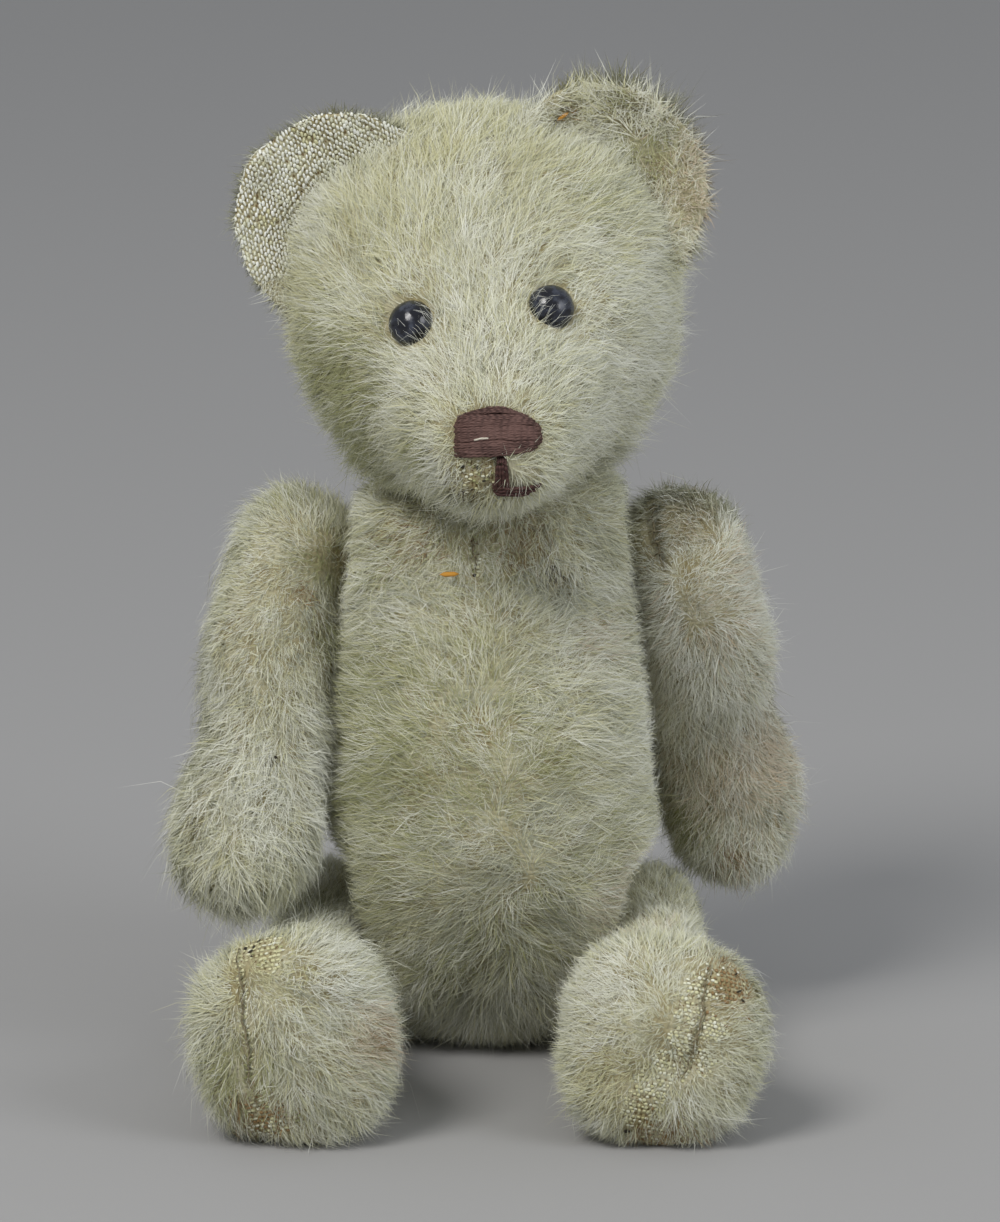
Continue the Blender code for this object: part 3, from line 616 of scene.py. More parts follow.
# Which way the pile lies: pixel in the photograph, and where the tips point, in degrees from its right
LIE = {
    "head": (
        (440, 108, 50), (421, 156, 70), (364, 251, 100), (488, 232, 62), (499, 146, 48), (537, 174, 28),
        (595, 260, 0), (652, 241, -15), (643, 192, 22), (671, 308, 4), (602, 398, 16), (613, 442, -4),
        (569, 474, 30), (613, 481, -8), (472, 333, 102), (504, 366, 66), (450, 388, 125), (411, 362, 142),
        (407, 394, 160), (402, 420, 178), (418, 453, 190), (450, 453, 205), (345, 400, 205),
        (335, 318, 165), (306, 251, 130), (300, 380, 200), (374, 496, 225), (450, 518, 265),
        (537, 502, -45), (560, 420, 12), (540, 350, 40), (520, 400, 60), (480, 395, 100), (620, 330, 8),
        (600, 120, 45), (560, 100, 70), (400, 290, 120), (580, 220, 12), (440, 230, 85),
    ),
    "torso": (
        (485, 535, 268), (379, 583, 215), (430, 560, 240), (560, 560, 290), (610, 560, 320),
        (426, 606, 140), (370, 690, 148), (360, 800, 158), (400, 860, 165), (350, 900, 172),
        (470, 640, 120), (470, 760, 150), (480, 860, 165), (430, 960, 185), (520, 640, 30), (560, 660, 10),
        (620, 640, 12), (640, 740, -4), (600, 760, 4), (540, 800, 20), (600, 860, 18), (640, 880, 12),
        (540, 930, 350), (480, 960, 200), (560, 960, 330), (500, 1005, 270), (430, 1000, 230),
        (530, 720, 15),
    ),
    "arm_left": (
        (720, 500, 80), (700, 590, 45), (740, 577, 38), (665, 600, 200), (665, 663, 262), (727, 684, 290),
        (700, 711, 280), (727, 760, 285), (770, 700, 310), (740, 845, 280), (700, 830, 255),
        (775, 800, 310), (680, 520, 200), (760, 640, 330),
    ),
    "arm_right": (
        (285, 540, 200), (300, 520, 120), (240, 580, 215), (255, 645, 245), (300, 640, 270),
        (255, 720, 258), (318, 750, 298), (255, 780, 262), (300, 800, 285), (174, 825, 235),
        (200, 780, 248), (195, 900, 300), (240, 880, 285), (290, 880, 255), (210, 690, 235),
        (165, 860, 262),
    ),
    "leg_left": (
        (605, 988, 160), (597, 1016, 152), (613, 1043, 172), (581, 1089, 200), (613, 1120, 225),
        (760, 1032, -18), (743, 1081, -15), (638, 951, 118), (678, 955, 70), (719, 1032, 15),
        (719, 1105, -32), (690, 890, 240), (700, 920, 250), (660, 1090, 250), (660, 930, 130),
        (680, 1135, 270),
    ),
    "leg_right": (
        (280, 1010, 302), (306, 997, 330), (332, 986, 350), (358, 1007, 352), (332, 947, 4),
        (380, 970, 10), (212, 985, 132), (190, 1030, 140), (225, 1040, 250), (263, 1079, 275),
        (349, 1088, 338), (306, 1114, 318), (205, 1090, 150), (265, 1040, 285), (320, 1050, 330),
        (240, 930, 90), (290, 930, 60), (200, 940, 130), (340, 1030, 345),
    ),
    "ear_left": (
        (600, 95, 120), (650, 85, 60), (700, 130, 20), (715, 180, -20), (655, 155, 100), (680, 200, 80),
        (640, 120, 60), (700, 215, -50), (570, 110, 30), (610, 130, 200),
    ),
    "ear_right": (
        (300, 130, 150), (250, 200, 200), (350, 110, 110), (260, 260, 230), (330, 190, 60), (380, 110, 40),
    ),
}

# Marks on the bear: pixel, radius in mm, what it is, and how strong. Olive marks are partly a real stain and
# partly painted shade in hollows, such as under the chin, in the ear's cup and between arm and belly.
MARKS = {
    "head": (
        (345, 385, 6.0, "olive", 0.9), (350, 450, 4.0, "olive", 0.75), (350, 400, 5.0, "short", 0.35),
        (292, 290, 3.0, "brown", 0.25), (300, 300, 4.5, "straw", 0.6), (430, 150, 5.0, "straw", 0.6),
        (470, 120, 4.0, "straw", 0.5), (530, 170, 4.0, "straw", 0.45), (370, 215, 4.0, "straw", 0.5),
        (420, 452, 1.8, "olive", 0.6), (590, 200, 3.0, "olive", 0.25), (610, 380, 8.0, "white", 0.5),
        (470, 360, 4.5, "white", 0.5), (643, 192, 2.0, "white", 0.9), (420, 500, 3.4, "olive", 0.7),
        (500, 512, 3.0, "olive", 0.6), (590, 490, 4.0, "grey", 0.5), (395, 380, 2.6, "white", 0.6),
        (470, 473, 1.5, "bare", 0.85), (483, 474, 1.5, "bare", 0.85), (468, 482, 1.6, "bare", 0.7),
        (480, 475, 2.4, "short", 0.7), (520, 471, 1.6, "short", 0.35), (497, 430, 5.4, "short", 0.4),
        # The dark marks below the mouth, at 470, 490 and 452, 489, paint a shadow line.
        (470, 490, 1.2, "dark", 0.5), (452, 489, 0.9, "dark", 0.4), (411, 320, 4.2, "short", 0.5),
        (553, 306, 4.2, "short", 0.5), (365, 480, 4.0, "long", 0.7), (405, 503, 4.0, "long", 0.5),
        (605, 480, 4.5, "long", 0.7), (545, 508, 4.0, "long", 0.5), (330, 430, 4.0, "olive", 0.4),
        (365, 430, 3.0, "olive", 0.5), (360, 350, 3.0, "olive", 0.35), (400, 245, 4.0, "straw", 0.4),
        (500, 130, 5.0, "straw", 0.4), (560, 340, 4.0, "white", 0.5), (640, 300, 5.0, "white", 0.35),
        (480, 280, 4.0, "white", 0.35), (620, 256, 1.0, "straw", 0.7), (290, 420, 5.0, "olive", 0.35),
    ),
    "torso": (
        (345, 540, 2.6, "olive", 0.85), (345, 640, 2.0, "olive", 0.6), (470, 790, 3.6, "olive", 0.6),
        (540, 765, 2.6, "olive", 0.6), (430, 770, 2.5, "olive", 0.3), (560, 590, 2.2, "grey", 0.95),
        (552, 575, 1.2, "dark", 0.3), (640, 730, 4.5, "white", 0.6), (590, 650, 4.0, "white", 0.35),
        (590, 640, 2.5, "pink", 0.3), (480, 545, 3.2, "olive", 0.5), (500, 560, 6.0, "short", 0.45),
        (520, 535, 2.5, "brown", 0.35), (420, 540, 3.0, "brown", 0.2), (500, 1000, 5.0, "grey", 0.5),
        (500, 880, 9.0, "grey", 0.35), (380, 620, 4.0, "white", 0.3), (360, 760, 4.0, "white", 0.25),
        (395, 780, 8.0, "olive", 0.6), (380, 700, 6.0, "olive", 0.55), (380, 870, 6.0, "olive", 0.3),
        (340, 790, 4.5, "long", 0.9), (660, 790, 4.5, "long", 0.9), (338, 700, 4.0, "long", 0.6),
        (470, 660, 5.0, "olive", 0.25), (480, 730, 4.0, "short", 0.3), (500, 740, 5.0, "olive", 0.3),
        (470, 800, 5.0, "short", 0.35), (485, 1006, 1.7, "long", 1.0), (485, 1004, 1.7, "white", 1.0),
        (440, 960, 5.0, "olive", 0.3), (600, 850, 5.0, "olive", 0.2), (480, 600, 4.0, "short", 0.4),
        (400, 560, 5.0, "olive", 0.25), (620, 700, 5.0, "long", 0.3), (500, 930, 5.0, "olive", 0.35),
        (620, 900, 5.0, "pink", 0.3),
    ),
    "arm_left": (
        (650, 540, 2.4, "thin", 0.8), (690, 520, 3.0, "pink", 0.5), (730, 600, 6.0, "pink", 0.35),
        (760, 760, 6.0, "pink", 0.7), (720, 780, 5.0, "pink", 0.5), (675, 650, 2.6, "white", 0.8),
        (700, 600, 5.0, "white", 0.6), (720, 700, 3.5, "white", 0.5), (690, 820, 2.6, "olive", 0.7),
        (765, 800, 4.0, "grey", 0.4), (735, 858, 2.0, "brown", 0.35), (700, 540, 5.0, "short", 0.5),
        (640, 600, 2.0, "olive", 0.7),
    ),
    "arm_right": (
        (305, 592, 0.9, "brown", 0.9), (305, 592, 1.3, "short", 0.8), (272, 758, 0.3, "dark", 1.0),
        (270, 570, 6.0, "short", 0.75), (240, 650, 6.0, "short", 0.6), (300, 650, 4.0, "short", 0.6),
        (325, 560, 2.2, "olive", 0.8), (328, 640, 2.0, "olive", 0.7), (290, 500, 3.0, "olive", 0.35),
        (310, 760, 2.6, "white", 0.9), (280, 800, 4.5, "white", 0.7), (240, 760, 4.0, "white", 0.4),
        (180, 890, 3.5, "olive", 0.7), (225, 900, 5.0, "long", 1.0), (170, 830, 3.0, "straw", 0.4),
        (260, 800, 7.0, "long", 0.7), (290, 830, 5.0, "long", 0.5), (190, 850, 4.0, "long", 0.3),
        (210, 560, 4.0, "straw", 0.25),
    ),
    "leg_left": (
        (700, 985, 1.6, "bare", 0.5), (690, 1010, 1.8, "bare", 0.5), (683, 1040, 1.8, "bare", 0.5),
        (668, 1065, 1.5, "bare", 0.65), (650, 1090, 1.7, "bare", 0.8), (640, 1112, 1.8, "bare", 0.85),
        (712, 1030, 1.6, "bare", 0.5), (700, 1060, 1.6, "bare", 0.5), (732, 982, 2.3, "bare", 0.7),
        (732, 982, 2.4, "brown", 0.95), (735, 985, 2.6, "short", 0.9), (660, 1138, 3.2, "brown", 0.5),
        (660, 1138, 2.6, "bare", 0.6), (700, 1000, 4.0, "short", 0.6), (620, 1080, 4.0, "straw", 0.6),
        (620, 1080, 3.5, "short", 0.5), (610, 985, 3.6, "white", 0.8), (600, 1030, 3.0, "white", 0.6),
        (690, 880, 5.0, "pink", 0.45), (690, 900, 5.0, "short", 0.6), (720, 1060, 4.0, "cream", 0.5),
    ),
    "leg_right": (
        (256, 946, 2.0, "bare", 0.85), (222, 952, 1.3, "bare", 0.7), (268, 958, 1.5, "bare", 0.6),
        (255, 962, 3.4, "straw", 0.8), (255, 962, 3.6, "short", 0.7), (380, 1038, 2.0, "brown", 0.45),
        (375, 1035, 3.0, "pink", 0.8), (235, 1078, 3.4, "olive", 0.7), (255, 1118, 3.0, "brown", 0.45),
        (268, 1117, 2.6, "bare", 0.7), (330, 955, 3.6, "white", 0.8), (330, 1000, 4.0, "white", 0.6),
        (260, 1020, 2.0, "thin", 0.4), (250, 1060, 3.0, "straw", 0.4), (300, 940, 3.5, "long", 0.4),
        (300, 910, 3.0, "olive", 0.5), (200, 1000, 4.0, "long", 0.4),
    ),
    "ear_left": (
        (650, 160, 2.6, "olive", 0.85), (650, 160, 2.4, "short", 0.5), (610, 115, 5.0, "white", 0.7),
        (700, 195, 3.6, "pink", 0.75), (700, 195, 4.2, "short", 0.55), (712, 150, 2.6, "pink", 0.5),
        (585, 100, 3.0, "straw", 0.5), (600, 104, 4.0, "cream", 0.5), (635, 95, 3.4, "white", 0.6),
        (695, 115, 3.4, "white", 0.7), (620, 112, 4.5, "long", 0.7), (665, 100, 4.0, "long", 0.5),
        (640, 198, 2.6, "white", 0.9), (566, 114, 0.7, "orange", 0.4), (625, 84, 1.4, "olive", 0.5),
        (715, 212, 1.6, "olive", 0.5),
    ),
    "ear_right": (
        (262, 200, 3.6, "bare", 1.0), (290, 160, 4.0, "bare", 1.0), (330, 140, 3.6, "bare", 1.0),
        (270, 240, 3.4, "bare", 1.0), (310, 190, 4.0, "bare", 1.0), (350, 165, 3.0, "bare", 1.0),
        (375, 125, 3.0, "bare", 0.9), (388, 110, 2.0, "bare", 0.8), (250, 265, 2.0, "short", 0.6),
        (360, 185, 1.6, "olive", 0.8), (262, 215, 1.6, "straw", 0.35), (300, 140, 1.4, "straw", 0.3),
    ),
}

# Each body's usual pile: length in mm, and shares of the tones
PILE = {
    "head": (3.1, {"white": 0.24, "cream": 0.46, "straw": 0.20, "grey": 0.10}),
    "torso": (3.2, {"white": 0.22, "cream": 0.34, "straw": 0.20, "grey": 0.24}),
    "arm_left": (2.5, {"white": 0.56, "cream": 0.28, "pink": 0.12, "grey": 0.04}),
    "arm_right": (3.1, {"white": 0.28, "cream": 0.34, "straw": 0.18, "grey": 0.20}),
    "leg_left": (2.4, {"white": 0.24, "cream": 0.46, "straw": 0.18, "grey": 0.12}),
    "leg_right": (2.7, {"white": 0.30, "cream": 0.42, "straw": 0.16, "grey": 0.12}),
    "ear_left": (2.9, {"white": 0.48, "cream": 0.42, "pink": 0.06, "straw": 0.04}),
    "ear_right": (1.9, {"white": 0.35, "cream": 0.50, "grey": 0.15}),
}


def usual_way(body, points, own):
    """How the pile lies where the photograph doesn't show it."""
    turn = np.array(FRAMES[body])[:3, :3].T
    if body.startswith("ear"):
        side = SIGN[body.split("_")[1]] * EAR_SIDE
        return unit(np.column_stack([own[:, 0] - side, own[:, 1] - EAR_HEIGHT + 0.004, 0 * own[:, 0]]) @ turn)
    if body == "head":
        return unit(np.column_stack([own[:, 0] * 2, own[:, 1] - 0.012, -0.02 + 0 * own[:, 0]]) @ turn)
    if body == "torso":
        return unit(np.column_stack([points[:, 0] * 2, 0 * points[:, 0], 0 * points[:, 0] - 0.012]))
    axis = np.array(FRAMES[body])[:3, 2]
    if body.startswith("arm"):
        return np.tile(axis, (len(points), 1))
    return unit(np.column_stack([own[:, 0], own[:, 1] - 0.005, own[:, 2] * 0 - 0.012]) @ turn)


class Coat:
    """What the pile does at any place on one body."""

    def __init__(self, body, seed):
        self.body = body
        self.skin = SKINS[body]
        self.seed = seed
        found = [self.skin.way_at_pixel(*mark) for mark in LIE[body]]
        self.places = np.array([place for place, _ in found])
        self.ways = np.array([way for _, way in found])
        self.marks = []
        for px, py, radius, kind, strength in MARKS[body]:
            place, _, _ = self.skin.at_pixel(px, py)
            self.marks.append((np.array(place), radius * MM, kind, strength))
        self.length, self.shares = PILE[body]

    def way(self, points, normals):
        """The direction along the skin that the tips point to."""
        usual = usual_way(self.body, points, self.skin.own(points))
        total = usual / (0.009**2 + 0.002**2) ** 2
        for place, way in zip(self.places, self.ways):
            near = dot(points - place, points - place) + 0.0018**2
            total = total + way / near[:, None] ** 2
        total = unit(total)
        return unit(total - normals * dot(total, normals)[:, None])

    def mark(self, points, kind):
        """How strongly marks of one kind cover each place, from 0 to 1."""
        share = np.zeros(len(points))
        if kind in ("bare", "short") and self.body in SEAM_LINES:
            reach = (SEAMS[self.body][2] + (0.15 if kind == "bare" else 1.0)) * MM * 0.8
            share = 0.85 * np.exp(-((nearest(points, SEAM_LINES[self.body][0]) / reach) ** 4))
        for k, (place, radius, name, strength) in enumerate(self.marks):
            if name != kind:
                continue
            apart = np.linalg.norm(points - place, axis=1) / radius
            apart = apart + 0.22 * waves(points, radius * 1.1, self.seed + 90 + k)
            share = np.maximum(share, strength * np.exp(-np.maximum(apart, 0) ** 3 * 0.7))
        return share


def pick_tones(coat, points, rng, lean):
    """Each hair's place on the strip of tones: its body's usual mix, or the colour of a mark."""
    names = list(coat.shares)
    drift = waves(points, 0.0075, coat.seed + 5) * 0.20 + waves(points, 0.0022, coat.seed + 6) * 0.17
    draw = np.clip(rng.random(len(points)) * 0.72 + 0.14 + drift + lean, 0, 0.9999)
    edges = np.cumsum([coat.shares[name] for name in names])
    chosen = np.array([TONES[name][0] for name in names])[np.searchsorted(edges / edges[-1], draw)]
    for name, (strip, _) in TONES.items():
        share = coat.mark(points, name)
        chosen = np.where(rng.random(len(points)) < share, strip, chosen)
    return np.clip(chosen + rng.normal(0, 0.022, len(points)), 0.012, 0.988)


def scatter(skin, density, rng):
    """Places spread evenly over a skin: points and normals."""
    corner = skin.points[skin.faces]
    areas = np.linalg.norm(np.cross(corner[:, 1] - corner[:, 0], corner[:, 2] - corner[:, 0]), axis=1) / 2
    count = int(areas.sum() / MM**2 * density)
    face = rng.choice(len(areas), count, p=areas / areas.sum())
    a, b = rng.random((2, count))
    over = a + b > 1
    a[over], b[over] = 1 - a[over], 1 - b[over]
    weights = np.stack([1 - a - b, a, b], axis=1)[:, :, None]
    points = (skin.points[skin.faces[face]] * weights).sum(axis=1)
    normals = unit((skin.normals[skin.faces[face]] * weights).sum(axis=1))
    return points, normals


# Where no pile is made: around each joint's disc, close to its plane, and on the sewn part of the face
DISC_REACH = 0.0055
NECK_DISC_REACH = 0.007
DISC_NEAR = 0.0007
LIMB_NEAR = 0.0004
HEAD_NEAR = 0.0009
FACE_START = 0.02
EAR_ROOT = 0.0006


def inside_head(points, depth):
    """Whether each point lies deeper than this under the head's cloth."""
    deep = np.zeros(len(points), bool)
    for k, point in enumerate(points.tolist()):
        place, normal, _, _ = SKINS["head"].tree.find_nearest(point)
        deep[k] = (Vector(point) - place).dot(normal) < -depth
    return deep


def hidden(body, points):
    """Where the cloth is pressed against another part, and carries no pile that could be seen."""
    if body.startswith("ear"):
        return inside_head(points, EAR_ROOT)
    covered = points[:, 2] < LIMB_NEAR
    if body == "torso":
        for place, out in (*SHOULDERS.values(), *HIPS.values(), (NECK, NECK_UP)):
            near = np.abs((points - np.array(place)) @ np.array(out)) < DISC_NEAR
            covered |= near & (np.linalg.norm(points - np.array(place), axis=1) < DISC_REACH)
        return covered
    own = SKINS[body].own(points)
    if body == "head":
        covered |= (own[:, 1] < HEAD_NEAR) & (np.hypot(own[:, 0], own[:, 2]) < NECK_DISC_REACH)
        across, down = pixel_of(points)
        sewn = in_rows(across, down, NOSE_ROWS) | in_rows(across, down, MOUTH_ROWS)
        return covered | ((own[:, 2] > FACE_START) & sewn)
    return covered | ((own[:, 1] < LIMB_NEAR) & (np.hypot(own[:, 0], own[:, 2]) < DISC_REACH))


def pressed(body, points):
    """How closely the cloth is pressed against another part at rest, from 0 to 1."""
    if body.startswith("ear"):
        return np.zeros(len(points))
    if body == "torso":
        overs = [over for over, _ in past_planes(points, (*SHOULDERS.values(), (NECK, NECK_UP)))]
        overs += [past_hip(points, place, out) for place, out in HIPS.values()]
        over = np.max(overs, axis=0)
    elif body == "head":
        over = past_neck(points)
    else:
        over = past_face(SKINS[body].own(points), FOOT_RELIEF if body.startswith("leg") else 0.0)
    return smooth(-0.0008, -0.0001, over)


def tuft(points, ways, spacing, rng):
    """For each hair, the middle of the tuft that it belongs to."""
    count = max(int(len(points) / spacing), 1)
    chosen = rng.choice(len(points), count, replace=False)
    tree = KDTree(count)
    for k, index in enumerate(chosen):
        tree.insert(points[index], k)
    tree.balance()
    owner = np.array([tree.find(p)[1] for p in points.tolist()])
    return points[chosen][owner], ways[chosen][owner]


# The thin pile of an ear lets light through, so its shading turns this much towards the light
EAR_SHEEN = (-0.20, -0.50, 0.50)
TUFT_HAIRS = 16
ROOT_DEPTH = 0.0001  # the roots start this far under the cloth
EYE_STRAYS = 0.06  # the share of hairs near an eye that still cross it
PASSING = 0.0016  # how far pile may pass the face of another part where it is free
PASSING_LOST = 0.0013  # and how much of that is lost where the cloth is pressed
PRESSED_FLAT = 0.6  # how much shorter and flatter pressed pile is
WORN_SHORT = 0.72  # how much shorter worn pile is
THIN_SHORT = 0.55  # and how much shorter the pile is where it is bald or thin
LEFT_LONG = 0.5  # how much longer long pile is
TO_KNEE, TO_TIP = 0.42, 0.58  # the shares of a hair before and after its bend
OWN_WAY, TUFT_WAY = 0.65, 0.35  # how far a hair's end follows its own way, and its tuft's
OF_CLOTH, OF_HAIR = 0.62, 0.38  # how far its shading follows the cloth, and its own roundness

Layer = collections.namedtuple("Layer", "density length width bend unruly lean segments balding")


def hairs(body, coat, layer, seed):
    """One layer of pile: points, triangles, tone and painted shade for each point, and shading normals."""
    rng = np.random.default_rng(seed)
    skin = SKINS[body]
    roots, normals = scatter(skin, layer.density, rng)
    bare = coat.mark(roots, "bare")
    if body.startswith("ear"):
        bare = bare * (normals @ np.array(HEAD_FRAME.col[2][:3]) > -0.2)
    thin = coat.mark(roots, "thin")
    keep = rng.random(len(roots)) > np.maximum(bare, thin * 0.75) * layer.balding
    patchy = 0.80 + 0.25 * waves(roots, 0.0035, seed + 1)
    keep &= rng.random(len(roots)) < patchy
    keep &= ~hidden(body, roots)
    roots, normals, bare = roots[keep], normals[keep], bare[keep]
    count = len(roots)
    close = pressed(body, roots)
    ways = coat.way(roots, normals)
    turn = 0.50 * waves(roots, 0.0055, seed + 2) + 0.40 * waves(roots, 0.0018, seed + 3)
    turn = turn + rng.normal(0, layer.unruly, count)
    ways = turned(ways, np.cross(normals, ways), turn)
    middle, middle_way = tuft(roots, ways, TUFT_HAIRS, rng)
    size = layer.length * coat.length * MM * np.clip(rng.normal(1.0, 0.26, count), 0.4, 1.8)
    size *= 1 + 0.22 * waves(roots, 0.004, seed + 4)
    size *= 1 - WORN_SHORT * coat.mark(roots, "short")
    size *= 1 - THIN_SHORT * np.maximum(bare, coat.mark(roots, "thin") * 0.7)
    size *= 1 + LEFT_LONG * coat.mark(roots, "long")
    size *= 1 - PRESSED_FLAT * close
    lift = np.radians(np.clip(rng.normal(layer.bend[0], 12, count), 12, 85)) * (1 - PRESSED_FLAT * close)
    droop = np.radians(np.clip(rng.normal(layer.bend[1], 11, count), -6, 70)) * (1 - PRESSED_FLAT * close)
    lean_first = turned(ways, normals, lift)
    tufted = unit(ways * OWN_WAY + middle_way * TUFT_WAY)
    tufted = unit(tufted - normals * dot(tufted, normals)[:, None])
    lean_last = turned(tufted, normals, droop)
    start = roots - normals * ROOT_DEPTH
    knee = start + lean_first * (size * TO_KNEE)[:, None]
    tips = knee + lean_last * (size * TO_TIP)[:, None]
    pull = (middle - roots) * rng.uniform(0.05, 0.30, count)[:, None]
    tips = tips + pull
    knee = knee + pull * 0.3
    if body == "head":
        crossing = over_eyes(roots) | over_eyes(knee) | over_eyes((knee + tips) / 2) | over_eyes(tips)
        tips = np.where((crossing & (rng.random(count) > EYE_STRAYS))[:, None], start, tips)
    roll = rng.uniform(-1.0, 1.0, count)
    flat = unit(np.cross(normals, lean_last))
    edge = unit(turned(flat, normals, roll))
    half = layer.width * MM / 2 * rng.uniform(0.6, 1.4, count)
    half = (half * (1 + 0.15 * waves(roots, 0.003, seed + 7)))[:, None]
    tone = pick_tones(coat, roots, rng, layer.lean)
    # Painted shade and highlight: each hair is darker towards its root, where the pile shades its base. glow
    # sets how much, in waves and at random, and the palest hairs stand for painted highlights.
    glow = 0.50 + 0.13 * waves(roots, 0.006, seed + 8) + 0.12 * waves(roots, 0.0016, seed + 9)
    glow = np.clip(glow + rng.normal(0, 0.16, count), 0.1, 0.9)
    shine = unit(np.cross(lean_last, edge))
    shine *= np.sign(dot(shine, normals))[:, None]
    shading = unit(normals * OF_CLOTH + shine * OF_HAIR)
    if body.startswith("ear"):
        shading = unit(shading + np.array(EAR_SHEEN))
    if layer.segments == 1:
        points = [start - edge * half, start + edge * half, tips]
        pattern = np.array([[0, 1, 2]])
        shades = [0.05 + glow * 0.40, 0.05 + glow * 0.40, 0.30 + glow * 0.6]
        wide = np.array([-1.0, 1.0, 0.0])
    else:
        waist = edge * half * 0.85
        points = [start - edge * half, start + edge * half, knee - waist, knee + waist, tips]
        pattern = np.array([[0, 1, 3], [0, 3, 2], [2, 3, 4]])
        shades = [0.05 + glow * 0.4] * 2 + [0.2 + glow * 0.6] * 2 + [0.35 + glow * 0.6]
        wide = np.array([-1.0, 1.0, -1.0, 1.0, 0.0])
    alive = np.any(tips != start, axis=1)
    points, shade = np.stack(points, axis=1)[alive], np.stack(shades, axis=1)[alive]
    corners, count = points.shape[1], int(alive.sum())
    face_way = np.cross(points[:, 1] - points[:, 0], points[:, -1] - points[:, 0])
    flip = np.repeat(dot(face_way, normals[alive]) < 0, len(pattern))
    passing = np.repeat(PASSING - PASSING_LOST * close[alive], corners)
    flat_points = LIMITS[body](points.reshape(-1, 3), passing)
    faces = (np.arange(count)[:, None, None] * corners + pattern).reshape(-1, 3)
    faces[flip] = faces[flip][:, ::-1]
    uv = np.stack([tone[alive][:, None] + wide * STRIP_HALF, np.clip(shade, 0.02, 0.98)], axis=-1)
    return flat_points, faces, uv.reshape(-1, 2), np.repeat(shading[alive], corners, axis=0)


# Materials
def new_material(name):
    made = bpy.data.materials.new(name)
    made.use_nodes = True
    tree = made.node_tree
    return made, tree, tree.nodes["Principled BSDF"]


def feed(tree, node, **inputs):
    """Sets a node's inputs, and links those that are given a socket. In a name _ stands for a space, and i0
    is the first input."""
    for key, value in inputs.items():
        by_number = key[0] == "i" and key[1:].isdigit()
        socket = node.inputs[int(key[1:]) if by_number else key.replace("_", " ")]
        if isinstance(value, bpy.types.NodeSocket):
            tree.links.new(value, socket)
        else:
            socket.default_value = value


def add_node(tree, kind, settings=None, **inputs):
    """A node with its settings and its inputs."""
    made = tree.nodes.new(kind)
    for key, value in (settings or {}).items():
        setattr(made, key, value)
    feed(tree, made, **inputs)
    return made


def ramp(tree, value, stops):
    """A value turned into a colour."""
    made = add_node(tree, "ShaderNodeValToRGB", i0=value)
    elements = made.color_ramp.elements
    made.color_ramp.interpolation = "LINEAR"
    while len(elements) < len(stops):
        elements.new(0.5)
    for element, (position, colour) in zip(elements, stops):
        element.position = position
        element.color = (*colour, 1.0)
    return made.outputs["Color"]


def arithmetic(tree, kind, *values):
    """A sum, a product or another function of numbers or sockets."""
    inputs = {f"i{k}": value for k, value in enumerate(values)}
    return add_node(tree, "ShaderNodeMath", {"operation": kind}, **inputs).outputs[0]


def noise(tree, place, scale, detail):
    return add_node(tree, "ShaderNodeTexNoise", Vector=place, Scale=scale, Detail=detail).outputs["Fac"]


def mix(tree, kind, factor, first, second):
    settings = {"data_type": "RGBA", "blend_type": kind}
    return add_node(tree, "ShaderNodeMix", settings, Factor=factor, A=first, B=second).outputs["Result"]


def bumped(tree, height, strength, distance):
    made = add_node(tree, "ShaderNodeBump", Height=height, Strength=strength, Distance=distance)
    return made.outputs["Normal"]


def map_of(tree, name):
    """A mesh's map: as a whole, across and up."""
    place = add_node(tree, "ShaderNodeUVMap", {"uv_map": name}).outputs["UV"]
    split = add_node(tree, "ShaderNodeSeparateXYZ", i0=place)
    return place, split.outputs["X"], split.outputs["Y"]


# Painted shade along each hair: darkest at its root, low on the map, and none at its tip. The floats of bare
# weave take their random brightness from it as well.
PILE_SHADES = ((0.0, (0.58, 0.56, 0.42)), (0.45, (0.84, 0.84, 0.77)), (1.0, (1.0, 1.0, 1.0)))


def pile_material(name, roughness, gloss):
    """The hairs' colour, from their own strip of tones across, darkened by a painted shade from root to tip
    upwards.
    """
    made, tree, shader = new_material(name)
    _, across, upward = map_of(tree, "OFBake")
    tone = ramp(tree, across, sorted(TONES.values()))
    light = ramp(tree, upward, PILE_SHADES)
    colour = mix(tree, "MULTIPLY", 1.0, tone, light)
    feed(tree, shader, Base_Color=colour, Roughness=roughness, Specular_IOR_Level=gloss)
    return made


